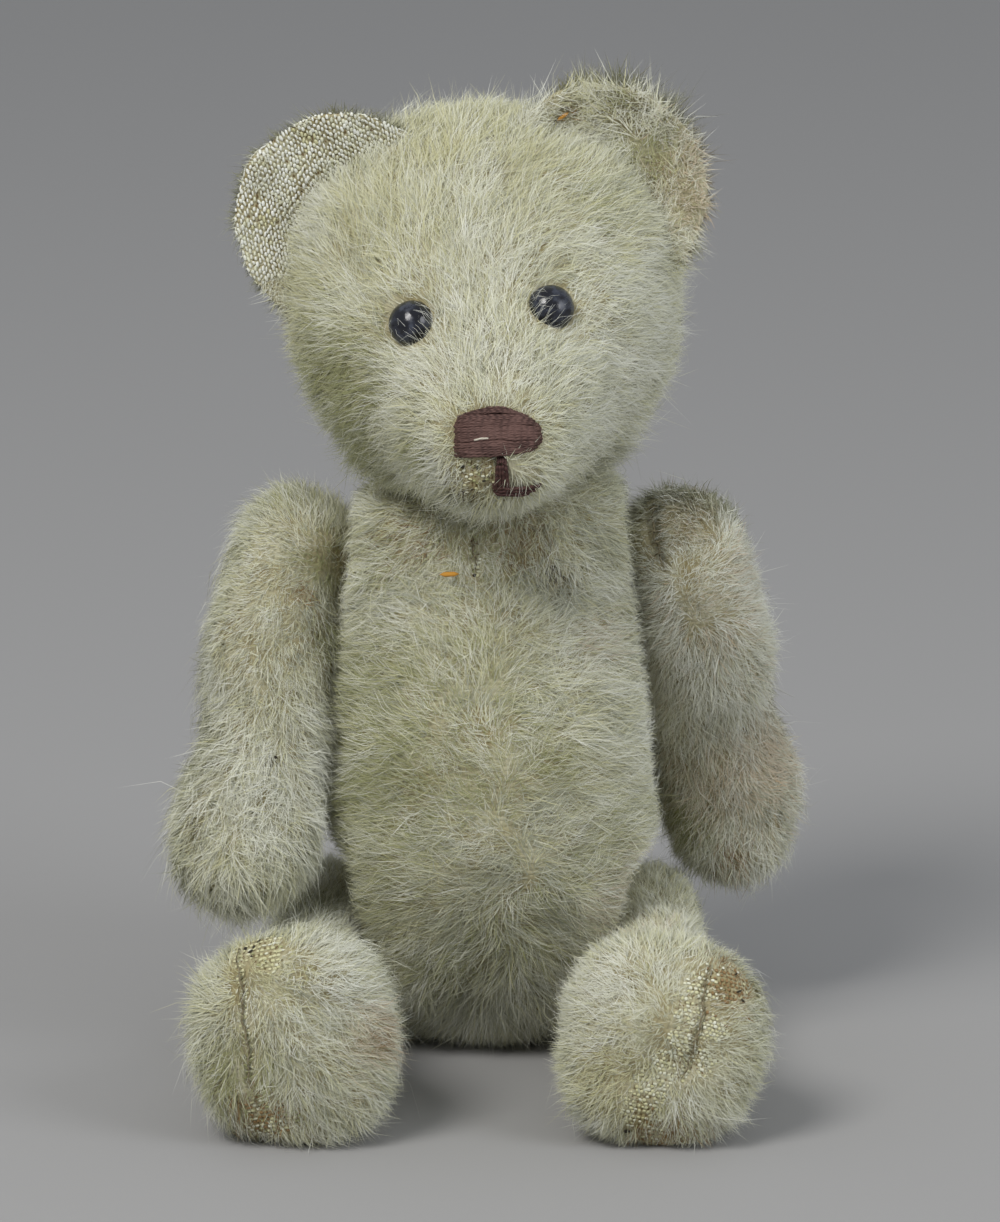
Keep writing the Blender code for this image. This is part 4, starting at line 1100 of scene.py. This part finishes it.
def cloth_material(name, thread, gap_dirt_and_shade, pitch=0.6):
    """Woven cotton under the pile, bare where the pile has gone, and darker between the threads: partly
    dirty, partly painted shade.
    Its map is in millimetres of cloth."""
    made, tree, shader = new_material(name)
    place, across, upward = map_of(tree, "Cloth")
    u, v = (arithmetic(tree, "MULTIPLY", value, math.pi / pitch) for value in (across, upward))
    warp, weft = (arithmetic(tree, "SINE", value) for value in (u, v))
    half_over = arithmetic(tree, "MULTIPLY", arithmetic(tree, "MULTIPLY", warp, weft), 0.5)
    warp, weft = (arithmetic(tree, "ABSOLUTE", value) for value in (warp, weft))
    above, below = arithmetic(tree, "ADD", warp, half_over), arithmetic(tree, "SUBTRACT", weft, half_over)
    top = arithmetic(tree, "MAXIMUM", above, below)
    grain = noise(tree, place, 2.6, 4.0)
    stain = noise(tree, place, 0.22, 3.0)
    threads, fuzz = arithmetic(tree, "MULTIPLY", top, 0.75), arithmetic(tree, "MULTIPLY", grain, 0.5)
    height = arithmetic(tree, "ADD", threads, fuzz)
    # Painted shade: the low gaps between the threads take the darker colour, partly a dirty cotton and partly
    # the shade that falls there.
    woven = ramp(tree, height, ((0.45, gap_dirt_and_shade), (0.95, thread)))
    matted = ramp(tree, grain, ((0.35, tuple(c * 0.78 for c in thread)), (0.65, thread)))
    bald = add_node(tree, "ShaderNodeAttribute", {"attribute_name": "Bald"}).outputs["Fac"]
    shade = ramp(tree, stain, ((0.35, (0.62, 0.56, 0.42)), (0.65, (1.0, 1.0, 1.0))))
    colour = mix(tree, "MULTIPLY", 1.0, mix(tree, "MIX", bald, matted, woven), shade)
    relief = bumped(tree, height, 0.9, 0.00012)
    feed(tree, shader, Base_Color=colour, Normal=relief, Roughness=0.9, Specular_IOR_Level=0.2)
    return made


PILE_MATERIAL = pile_material("worn_mohair_pile", 0.52, 0.35)
WEAVE_MATERIAL = pile_material("worn_cotton_threads", 0.9, 0.15)
# The thread's colour, and the darker colour between the threads: partly dirty, partly painted shade.
CLOTH_MATERIAL = cloth_material("cotton_backing", (0.58, 0.55, 0.38), (0.20, 0.16, 0.08))


def cloth_map(body, points):
    """Where each point lies on the cut cloth, in millimetres."""
    own = SKINS[body].own(points)
    if body == "torso":
        return np.column_stack([np.arctan2(own[:, 0], -own[:, 1]) * 16, own[:, 2] / MM])
    if body.startswith("ear"):
        return own[:, :2] / MM
    if body == "head":
        return np.column_stack([np.arctan2(own[:, 0], own[:, 1] - 0.018) * 18, own[:, 2] / MM])
    if body.startswith("arm"):
        return np.column_stack([np.arctan2(own[:, 1] - 0.0075, own[:, 0]) * 8, own[:, 2] / MM])
    across = np.arcsin(np.clip((own[:, 1] - 0.005) / 0.0105, -1, 1)) * 10.5
    round_toe = np.arctan2(own[:, 0] - 0.001, np.maximum(own[:, 2] - 0.036, 1e-5)) * 10.5
    straight = np.sign(own[:, 0]) * (math.pi / 2 * 10.5 + (0.036 - own[:, 2]) / MM)
    return np.column_stack([across, np.where(own[:, 2] > 0.036, round_toe, straight)])


PARTS = ("torso", "head", "arm_left", "arm_right", "leg_left", "leg_right", "ear_left", "ear_right")
COATS = {part: Coat(part, 100 + 10 * k) for k, part in enumerate(PARTS)}
SEED_STEP = 17  # from one kind of pile on a part to the next
# Layers of pile. Hairs to a square millimetre, length as a share, width in mm, how far root and tip stand up
# in degrees, how unruly, how much paler or darker, bends in a hair, and how far bald patches thin it
# The top layers lean paler: partly their own tone, partly a painted sheen on the longest hairs.
LAYERS = {
    "undercoat": (Layer(14.5, 0.66, 0.125, (52, 34), 0.80, 0.12, 1, 1.0),),
    "pile": (
        Layer(8.5, 0.90, 0.064, (38, 18), 0.42, 0.0, 1, 1.0),
        Layer(5.8, 1.15, 0.048, (44, 8), 0.36, -0.26, 2, 1.0),
        Layer(0.35, 1.45, 0.045, (44, 34), 0.90, -0.24, 2, 0.6),
    ),
}


def body_of(part):
    """An ear rides the head."""
    return "head" if part.startswith("ear") else part


def cover_bodies():
    """Every part's cloth and its pile."""
    for number, part in enumerate(PARTS):
        skin, coat, seed = SKINS[part], COATS[part], 1000 + 100 * number
        mesh = mesh_from(f"{part}_cloth", skin.points, skin.faces, cloth_map(part, skin.points), "Cloth")
        ear = part.startswith("ear")
        bald = mesh.attributes.new("Bald", "FLOAT", "POINT")
        bald.data.foreach_set("value", smooth(0.15, 0.5, coat.mark(skin.points, "bare")).astype(np.float32))
        replaced = part if ear else f"{part}_cover"
        piece = place_piece(f"{part}_cloth", mesh, body_of(part), CLOTH_MATERIAL, (replaced,))
        for name, layers in LAYERS.items():
            made = [hairs(part, coat, layer, seed + 30 * k) for k, layer in enumerate(layers)]
            points, faces, uv, normals = joined(made)
            seed += SEED_STEP
            mesh = mesh_from(f"{part}_{name}", points, faces, uv, normals=normals)
            place_piece(f"{part}_{name}", mesh, body_of(part), PILE_MATERIAL)


cover_bodies()


# Bare weave: the threads that lie on top where the pile has gone
FLOAT_SIDES = 6
FLOAT_RINGS = 2
FLOAT_TRIES = 120.0  # places tried to a square millimetre


def grain_shape():
    """One thread's float, as a long round grain of length, width and height 1."""
    points = [(-0.5, 0, 0)]
    for ring in range(1, FLOAT_RINGS + 1):
        along = math.pi * ring / (FLOAT_RINGS + 1)
        for k in range(FLOAT_SIDES):
            angle = 2 * math.pi * k / FLOAT_SIDES
            radius = 0.5 * math.sin(along) ** 0.3
            points.append((-0.5 * math.cos(along), radius * math.cos(angle), radius * math.sin(angle)))
    return np.array(points + [(0.5, 0, 0)]), tube_faces(FLOAT_RINGS, FLOAT_SIDES)


def grains(places, ways, normals, sizes, tones, shades):
    """Many floats as one set of arrays. Sizes are (length, width, height) rows."""
    shape, faces = grain_shape()
    sides = unit(np.cross(normals, ways))
    points = (
        places[:, None]
        + ways[:, None] * (shape[:, 0] * sizes[:, :1])[:, :, None]
        + sides[:, None] * (shape[:, 1] * sizes[:, 1:2])[:, :, None]
        + normals[:, None] * (shape[:, 2] * sizes[:, 2:3])[:, :, None]
    )
    count, corners = len(places), len(shape)
    faces = (np.arange(count)[:, None, None] * corners + faces[:, ::-1]).reshape(-1, 3)
    spread = np.linspace(-STRIP_HALF, STRIP_HALF, corners)
    uv = np.stack([tones[:, None] + spread, shades[:, None] + 6 * np.abs(spread)], axis=-1)
    return points.reshape(-1, 3), faces, uv.reshape(-1, 2)


def bare_weave(part, pitch, size, degrees, tones, holes, seed):
    """Rows of floats wherever the front of a part is bald, with gaps here and there, where a smaller, sunken
    dark grain paints the shade in the gap.
    """
    rng = np.random.default_rng(seed)
    coat = COATS[part]
    points, normals = scatter(SKINS[part], FLOAT_TRIES, rng)
    share = coat.mark(points, "bare")
    good = (share > 0.30) & (normals @ np.array(CAMERA_BACK) > 0.05)
    points, normals = points[good], normals[good]
    angle = math.radians(degrees)
    right, up = np.array((1.0, 0, 0)), np.array(CAMERA_UP)
    row_way = right * math.cos(angle) + up * math.sin(angle)
    row_up = -right * math.sin(angle) + up * math.cos(angle)
    bend = 0.12 * waves(points, 0.006, seed + 1) * MM
    u, v = (points @ row_way + bend) / (pitch[0] * MM), (points @ row_up + bend) / (pitch[1] * MM)
    row = np.floor(v)
    column = np.floor(u + 0.5 * (row % 2))
    off = np.hypot(u + 0.5 * (row % 2) - column - 0.5, v - row - 0.5)
    order = np.lexsort((off, column, row))
    first = np.ones(len(order), bool)
    first[1:] = (np.diff(row[order]) != 0) | (np.diff(column[order]) != 0)
    chosen = order[first]
    chosen = chosen[off[chosen] < 0.45]
    points, normals = points[chosen], normals[chosen]
    count = len(points)
    turn = rng.normal(0, 0.20, count)
    ways = unit(row_way - normals * (normals @ row_way)[:, None])
    ways = unit(turned(ways, np.cross(normals, ways), turn))
    sizes = np.array(size) * MM * rng.uniform(0.70, 1.25, (count, 3))
    names = list(tones)
    picks = rng.choice(len(names), count, p=np.array(list(tones.values())) / sum(tones.values()))
    strip = np.array([TONES[name][0] for name in names])[picks] + rng.normal(0, 0.012, count)
    for name in ("olive", "brown", "straw"):
        marked = rng.random(count) < coat.mark(points, name)
        strip = np.where(marked, TONES[name][0], strip)
    # Painted shade: where a float is missing, a smaller grain of dark brown tone sits a little lower.
    missing = rng.random(count) < holes
    strip[missing] = TONES["brown"][0] + 0.05
    sizes[missing] *= (0.7, 0.8, 0.5)
    shade = np.clip(0.74 + 0.16 * waves(points, 0.004, seed + 2) + rng.normal(0, 0.14, count), 0.08, 0.95)
    lift = np.where(missing, -0.00002, 0.00006)
    return grains(points + normals * lift[:, None], ways, normals, sizes, strip, shade)


CLEAN_WEAVE = {"white": 0.8, "cream": 0.2}
WORN_WEAVE = {"cream": 0.5, "straw": 0.5}
DIRTY_WEAVE = {"cream": 0.4, "straw": 0.4, "olive": 0.2}
# Each bald place: its part, how far apart its floats are along and across them, the size of a float, all in
# mm, the way it points in the photograph in degrees, its tones, and the share of gaps
BALD_PLACES = (
    ("ear_right", (0.62, 0.36), (0.64, 0.31, 0.19), 104, CLEAN_WEAVE, 0.03),
    ("leg_left", (0.46, 0.40), (0.42, 0.34, 0.10), -14, WORN_WEAVE, 0.24),
    ("leg_right", (0.50, 0.42), (0.50, 0.32, 0.18), 14, DIRTY_WEAVE, 0.12),
    ("head", (0.50, 0.38), (0.46, 0.27, 0.16), 20, DIRTY_WEAVE, 0.30),
    ("arm_left", (0.55, 0.42), (0.52, 0.30, 0.2), 75, {"cream": 0.5, "pink": 0.4, "straw": 0.1}, 0.1),
    ("torso", (0.55, 0.42), (0.52, 0.30, 0.2), 8, DIRTY_WEAVE, 0.2),
)


def add_weave():
    """The bald crescent of one ear, and the bald strips on the feet, the arm and the muzzle."""
    for number, (part, *facts) in enumerate(BALD_PLACES):
        points, faces, uv = bare_weave(part, *facts, 500 + 7 * number)
        mesh = mesh_from(f"{part}_bare_weave", points, faces, uv)
        place_piece(f"{part}_bare_weave", mesh, body_of(part), WEAVE_MATERIAL)


# Thread
def tube(path, radius, sides=7, taper=0.0):
    """A closed tube along a path, with a map of millimetres along and a turn round."""
    path = np.array(path)
    ways = unit(np.gradient(path, axis=0))
    aside = unit(np.cross(ways, np.array((0.13, 0.31, 0.94))))
    above = np.cross(aside, ways)
    step = np.linspace(0, 1, len(path))
    radii = radius * (1 - taper * np.abs(2 * step - 1) ** 3)
    angle = 2 * math.pi * np.arange(sides) / sides
    ring = aside[:, None] * np.cos(angle)[None, :, None] + above[:, None] * np.sin(angle)[None, :, None]
    points = path[:, None] + ring * radii[:, None, None]
    length = path_steps(path) / MM
    turns = np.tile(angle / (2 * math.pi), (len(path), 1))
    uv = np.stack([np.repeat(length[:, None], sides, axis=1), turns], axis=-1)
    ends = path[:1] - ways[:1] * radius * 0.4, path[-1:] + ways[-1:] * radius * 0.4
    points = np.vstack([ends[0], points.reshape(-1, 3), ends[1]])
    uv = np.vstack([[[0, 0]], uv.reshape(-1, 2), [[length[-1], 0]]])
    return points, tube_faces(len(path), sides)[:, ::-1], uv


def laid_thread(part, pixels, height, radius, samples=12, taper=0.0, wander=0.0, rng=None):
    """A thread that lies over a part's cloth, through pixels of the photograph."""
    pixels = np.array(pixels, float)
    steps = path_steps(pixels)
    at = np.linspace(0, steps[-1], samples)
    path = []
    for x, y in zip(np.interp(at, steps, pixels[:, 0]), np.interp(at, steps, pixels[:, 1])):
        place, normal, _ = SKINS[part].at_pixel(x, y)
        path.append(np.array(place + normal * height))
    path = np.array(path)
    path[1:-1] = (path[:-2] + 2 * path[1:-1] + path[2:]) / 4
    if rng is not None:
        path = path + rng.normal(0, wander, path.shape)
    ends = np.array([SKINS[part].at_pixel(*pixel)[1] for pixel in (pixels[0], pixels[-1])])
    path[0] -= ends[0] * height * 0.8
    path[-1] -= ends[1] * height * 0.8
    return tube(path, radius, taper=taper)


def sew_face():
    """The nose in satin stitch, and what is left of the mouth."""
    rng = np.random.default_rng(77)
    stitches = []
    table = np.array(NOSE_ROWS)
    top, bottom = table[0, 0], table[-1, 0]
    for layer, lift in enumerate((0.00032, 0.00062)):
        for y in np.arange(top + layer, bottom - layer, NOSE_SPACING):
            left, right = (np.interp(y, table[:, 0], table[:, k]) for k in (1, 2))
            slope = NOSE_SLOPE * (y - top) / (bottom - top)
            y = y + rng.normal(0, 0.5)
            left = left + rng.uniform(-0.8, 1.2) + 2 * layer
            right = right + rng.uniform(-1.2, 0.8) - 2 * layer
            middle = (left + right) / 2
            heights = y, y - slope * (middle - left) - 0.4, y - slope * (right - left)
            line = tuple(zip((left, middle, right), heights))
            bulge = lift + 0.00012 * math.sin(math.pi * (y - 405) / 55)
            stitches.append(laid_thread("head", line, bulge, NOSE_THREAD, 14, 0.25, 0.00003, rng))
    nose = mesh_from("nose_threads", *joined(stitches), "Thread")
    place_piece("nose_threads", nose, "head", THREAD_MATERIAL, ("nose_stitching",))
    stitches = []
    for line in MOUTH_THREADS:
        stitches.append(laid_thread("head", line, 0.00062, THREAD_RADIUS, 10, 0.3, 0.00003, rng))
    mouth = mesh_from("mouth_threads", *joined(stitches), "Thread")
    place_piece("mouth_threads", mouth, "head", MOUTH_THREAD, ("mouth_stitching",))
    # A pale thread laid on top of the nose's stitches, drawing a pale line across them.
    pale_line = laid_thread("head", ((474, 440), (483, 438.8), (492, 439.4)), 0.00088, 0.00012, 8, 0.8)
    place_piece("nose_pale_line", mesh_from("nose_pale_line", *pale_line, "Thread"), "head", PALE_THREAD)


def sew_seams():
    """A dark thread along each open seam, laid there as painted shade for its opening, and on the torso and
    the arm the stitches across it.
    """
    rng = np.random.default_rng(78)
    for part, (line, normals) in SEAM_LINES.items():
        # Painted shade: a thin dark thread sunk along the seam draws the shadow of the open seam.
        shapes = [tube(line + normals * 0.00004, 0.00012, taper=0.6)]
        if part in ("torso", "arm_left"):
            for k in range(2, len(line) - 2, 3):
                aside = unit(np.cross(line[k + 1] - line[k - 1], normals[k]))
                reach = 0.00055 + rng.uniform(-0.0001, 0.0001)
                drop = rng.uniform(-0.0002, 0.0002) * unit(line[k + 1] - line[k - 1])
                low, high = line[k] + normals[k] * 0.0002, line[k] + normals[k] * 0.00042
                shapes.append(tube([low - aside * reach, high, low + aside * reach + drop], 0.00009, 6))
        mesh = mesh_from(f"{part}_seam_shade_and_thread", *joined(shapes), "Thread")
        place_piece(f"{part}_seam_shade_and_thread", mesh, body_of(part), SEAM_SHADE_AND_THREAD)


# Eyes
def build_eye(side, rings=20, around=56):
    """A low black glass dome with a rolled edge and a flat back."""
    profile = [(EYE_RADIUS * 0.55, -0.0011), (EYE_RADIUS * 0.9, -0.0009), (EYE_RADIUS * 0.99, -0.0004)]
    for k in range(rings):
        angle = math.pi / 2 * k / rings
        profile.append((EYE_RADIUS * math.cos(angle) ** 0.92, EYE_DOME * math.sin(angle) - EYE_SUNK))
    angle = 2 * math.pi * np.arange(around) / around
    layers = [np.column_stack([r * np.cos(angle), r * np.sin(angle), np.full(around, z)]) for r, z in profile]
    points = np.vstack([[(0, 0, -0.0011)], *layers, [(0, 0, EYE_DOME - EYE_SUNK)]])
    faces = tube_faces(len(layers), around)
    mesh = mesh_from(f"eye_{side}_glass", in_world(points, EYE_FRAMES[side]), faces)
    place_piece(f"eye_{side}_glass", mesh, "head", GLASS_MATERIAL, (f"eye_{side}",))


# Hairs across the eyes: where they are rooted, where they end, and how many
EYE_HAIRS = (
    ((436, 306), (426, 299), 4), ((438, 318), (424, 313), 5), ((436, 330), (422, 323), 6),
    ((428, 344), (418, 335), 7), ((412, 348), (408, 339), 4), ((396, 346), (400, 339), 3),
    ((527, 298), (538, 304), 6), ((528, 308), (541, 309), 7), ((532, 320), (544, 314), 6),
    ((542, 330), (550, 323), 5), ((538, 286), (546, 291), 3), ((556, 330), (560, 325), 3),
)


def crossing_hairs():
    """The hairs that lie across the eyes."""
    rng = np.random.default_rng(79)
    shapes = []
    for (x0, y0), (x1, y1), count in EYE_HAIRS:
        for _ in range(count):
            jitter = rng.normal(0, 3.6, 2)
            root, normal, _ = SKINS["head"].at_pixel(x0 + jitter[0], y0 + jitter[1])
            ahead = jitter * 0.6 + rng.normal(0, 5.5, 2)
            end, _, _ = SKINS["head"].at_pixel(x1 + ahead[0], y1 + ahead[1])
            lift = EYE_DOME - EYE_SUNK + rng.uniform(0.0001, 0.0006)
            middle = root.lerp(end, 0.5) + normal * lift * 0.95 + Vector(rng.normal(0, 0.0002, 3))
            path = [np.array(root), np.array(middle), np.array(end + normal * lift)]
            points, faces, _ = tube(path, 0.000018, 3, 0.5)
            tone = TONES["white"][0] + rng.uniform(0, 0.06)
            strip = np.linspace(tone - STRIP_HALF, tone + STRIP_HALF, len(points))
            uv = np.column_stack([strip, np.linspace(0.5, 0.95, len(points))])
            shapes.append((points, faces, uv))
    mesh = mesh_from("eye_crossing_hairs", *joined(shapes))
    place_piece("eye_crossing_hairs", mesh, "head", PILE_MATERIAL)


# Bits of straw, and dark grains, mostly painted shade for holes in the weave: part, pixel, size in mm, way in
# degrees, tone, and height in m
FLECKS = (
    ("torso", 448, 576, (2.2, 0.55, 0.28), 2, "orange", 0.0021),
    ("torso", 475, 577, (0.5, 0.35, 0.2), 30, "dark", 0.0009),
    ("arm_right", 272, 758, (0.40, 0.36, 0.3), 0, "dark", 0.0021),
    ("ear_left", 563, 116, (1.6, 0.4, 0.3), 35, "orange", 0.0006),
    ("leg_right", 246, 949, (0.65, 0.40, 0.16), -20, "dark", 0.00012),
    ("leg_right", 251, 952, (0.60, 0.35, 0.16), 35, "dark", 0.00012),
    ("leg_right", 254, 948, (0.55, 0.28, 0.16), 70, "dark", 0.00012),
    ("leg_right", 248, 941, (0.70, 0.26, 0.16), 25, "dark", 0.00012),
    ("leg_right", 259, 942, (0.60, 0.28, 0.16), 40, "dark", 0.00012),
    ("leg_right", 252, 957, (0.40, 0.22, 0.16), -30, "dark", 0.00012),
    ("leg_right", 221, 953, (0.50, 0.26, 0.16), 60, "brown", 0.00012),
    ("leg_right", 228, 946, (0.40, 0.22, 0.16), 10, "brown", 0.00012),
    ("leg_left", 742, 1001, (0.7, 0.25, 0.2), -40, "dark", 0.00020),
    ("leg_left", 738, 992, (0.9, 0.22, 0.2), 20, "dark", 0.00020),
    ("leg_left", 735, 975, (0.7, 0.20, 0.2), 35, "dark", 0.00020),
    ("leg_left", 627, 1130, (0.8, 0.5, 0.2), 0, "dark", 0.00020),
    ("head", 463, 466, (0.7, 0.35, 0.2), 20, "dark", 0.00018),
    ("head", 478, 467, (0.5, 0.35, 0.2), 40, "dark", 0.00018),
    ("head", 484, 480, (0.5, 0.25, 0.2), 10, "dark", 0.00018),
)


def add_flecks():
    """Bits of straw caught in the pile, and dark grains, mostly painted shade for holes in the weave."""
    for number, (part, px, py, size, degrees, tone, height) in enumerate(FLECKS):
        place, way = SKINS[part].way_at_pixel(px, py, degrees)
        normal = np.array(SKINS[part].at_pixel(px, py)[1])
        rows = [np.array([v]) for v in (place + normal * height, way, normal)]
        shape = grains(*rows, np.array([size]) * MM, np.array([TONES[tone][0]]), np.array([0.8]))
        name = f"fleck_{number + 1}"
        place_piece(name, mesh_from(name, *shape), body_of(part), WEAVE_MATERIAL)


def thread_material(name, dark, light):
    """Twisted thread, lighter on the ridges of its twist and darker in its grooves as painted shade, and
    patchy with wear. Its map runs in millimetres along and one turn round.
    """
    made, tree, shader = new_material(name)
    _, along, round_it = map_of(tree, "Thread")
    turns = arithmetic(tree, "MULTIPLY", along, 9.0)
    twist = arithmetic(tree, "SINE", arithmetic(tree, "MULTIPLY_ADD", round_it, 2 * math.pi, turns))
    spot = add_node(tree, "ShaderNodeTexCoord").outputs["Object"]
    height = arithmetic(tree, "MULTIPLY_ADD", twist, 0.35, noise(tree, spot, 2600.0, 3.0))
    # Painted shade: the colour follows the twist's relief, darker in the grooves, with noise for wear.
    worn = arithmetic(tree, "MULTIPLY_ADD", height, 0.55, noise(tree, spot, 520.0, 2.0))
    colour = ramp(tree, worn, ((0.45, dark), (0.95, light)))
    relief = bumped(tree, height, 0.6, 0.00006)
    feed(tree, shader, Base_Color=colour, Normal=relief, Roughness=0.7, Specular_IOR_Level=0.3)
    return made


def glass_material():
    """Black glass, dull and pitted in places, and paler and bluish there: partly dusty, partly a painted
    reflection.
    """
    made, tree, shader = new_material("black_eye_glass")
    spot = add_node(tree, "ShaderNodeTexCoord").outputs["Object"]
    dust_and_reflection = noise(tree, spot, 900.0, 5.0)
    # Painted reflection: the dusty patches turn paler and bluish, standing partly for mottled reflections.
    colour = ramp(tree, dust_and_reflection, ((0.45, (0.006, 0.007, 0.012)), (0.75, (0.055, 0.065, 0.095))))
    rough = ramp(tree, dust_and_reflection, ((0.42, (0.10, 0.10, 0.10)), (0.68, (0.42, 0.42, 0.42))))
    relief = bumped(tree, noise(tree, spot, 2400.0, 3.0), 0.5, 0.00004)
    feed(tree, shader, Base_Color=colour, Roughness=rough, Normal=relief, Specular_IOR_Level=0.6)
    return made


THREAD_MATERIAL = thread_material("brown_nose_thread", (0.050, 0.024, 0.020), (0.150, 0.083, 0.070))
MOUTH_THREAD = thread_material("brown_mouth_thread", (0.032, 0.013, 0.011), (0.095, 0.045, 0.038))
# Dark thread: the painted shade along the open seams, and the stitches across them.
SEAM_SHADE_AND_THREAD = thread_material("seam_shade_and_old_thread", (0.08, 0.066, 0.035), (0.30, 0.26, 0.16))
PALE_THREAD = thread_material("pale_line_thread", (0.45, 0.40, 0.32), (0.72, 0.67, 0.56))
GLASS_MATERIAL = glass_material()
add_weave()
sew_face()
sew_seams()
for side in SIGN:
    build_eye(side)
crossing_hairs()
add_flecks()


# What is inside: wood wool, card and steel, for whoever takes the bear apart
def noise_material(name, scale, stretch, dark, light, roughness, bump, metallic=0.0):
    """Fibres or grain, with light and dark, from noise drawn out along one direction."""
    made, tree, shader = new_material(name)
    place = add_node(tree, "ShaderNodeTexCoord").outputs["Object"]
    mapping = add_node(tree, "ShaderNodeMapping", Vector=place, Scale=stretch, Rotation=(0.6, 0.4, 0.3))
    fibres = noise(tree, mapping.outputs["Vector"], scale, 6.0)
    colour = ramp(tree, fibres, ((0.35, dark), (0.68, light)))
    relief = bumped(tree, fibres, 0.8, bump)
    feed(tree, shader, Base_Color=colour, Normal=relief, Roughness=roughness, Metallic=metallic)
    return made


WOOD_WOOL = noise_material(
    "wood_wool", 500.0, (1, 1, 6), (0.30, 0.20, 0.09), (0.72, 0.58, 0.34), 0.85, 0.0004
)
CARD = noise_material(
    "grey_card", 1500.0, (1, 1, 2), (0.20, 0.15, 0.10), (0.38, 0.31, 0.23), 0.9, 0.00005
)
STEEL = noise_material(
    "old_steel", 900.0, (4, 1, 1), (0.25, 0.22, 0.20), (0.58, 0.58, 0.60), 0.38, 0.00002, 1.0
)
for name in frame["nodes"]:
    ending = name.rsplit("_", 1)[-1]
    inner = {"stuffing": WOOD_WOOL, "disc": CARD, "washer": STEEL, "pin": STEEL}.get(ending)
    if inner is not None:
        for material_slot in bpy.data.objects[name].material_slots:
            material_slot.material = inner


# Floor, lamps and camera
FLOOR_REACH = 3.0
FLOOR_COLOUR = (0.37, 0.367, 0.365, 1)
SKY_COLOUR = (0.93, 0.96, 1.0, 1)
SKY_STRENGTH = 0.42
LAMP_AIM = Vector((0, 0, 0.05))
# Lamps: place and width in metres, watts, and colour
LAMPS = {
    "key_lamp": ((-0.45, -0.60, 0.85), 0.45, 6.6, (1.0, 0.98, 0.95)),
    "fill_lamp": ((0.75, -0.55, 0.50), 0.55, 3.2, (0.95, 0.97, 1.0)),
}


def plain_floor():
    made, tree, shader = new_material("pale_floor")
    feed(tree, shader, Base_Color=FLOOR_COLOUR, Roughness=0.9)
    mesh = bpy.data.meshes.new("floor")
    corners = [(x * FLOOR_REACH, y * FLOOR_REACH, 0) for x, y in ((-1, -1), (1, -1), (1, 1), (-1, 1))]
    mesh.from_pydata(corners, [], [(0, 1, 2, 3)])
    mesh.materials.append(made)
    new_object("floor", mesh)


def build_stage():
    """The floor, a pale sky, two soft lamps, and the camera of the photograph."""
    plain_floor()
    scene = bpy.context.scene
    scene.world = bpy.data.worlds.new("studio")
    scene.world.use_nodes = True
    sky = scene.world.node_tree.nodes["Background"]
    sky.inputs["Color"].default_value = SKY_COLOUR
    sky.inputs["Strength"].default_value = SKY_STRENGTH
    for name, (place, width, watts, colour) in LAMPS.items():
        lamp = bpy.data.lights.new(name, "AREA")
        lamp.shape = "DISK"
        lamp.size = width
        lamp.energy = watts
        lamp.color = colour
        new_object(name, lamp, place, Vector(place) - LAMP_AIM)
    camera = bpy.data.cameras.new("camera")
    camera.sensor_fit = "AUTO"
    camera.sensor_width = SENSOR
    camera.lens = SENSOR * FOCAL_PIXELS / PHOTO_HEIGHT
    scene.camera = new_object("camera", camera, CAMERA_PLACE, CAMERA_BACK)
    scene.view_settings.view_transform = "Standard"


build_stage()
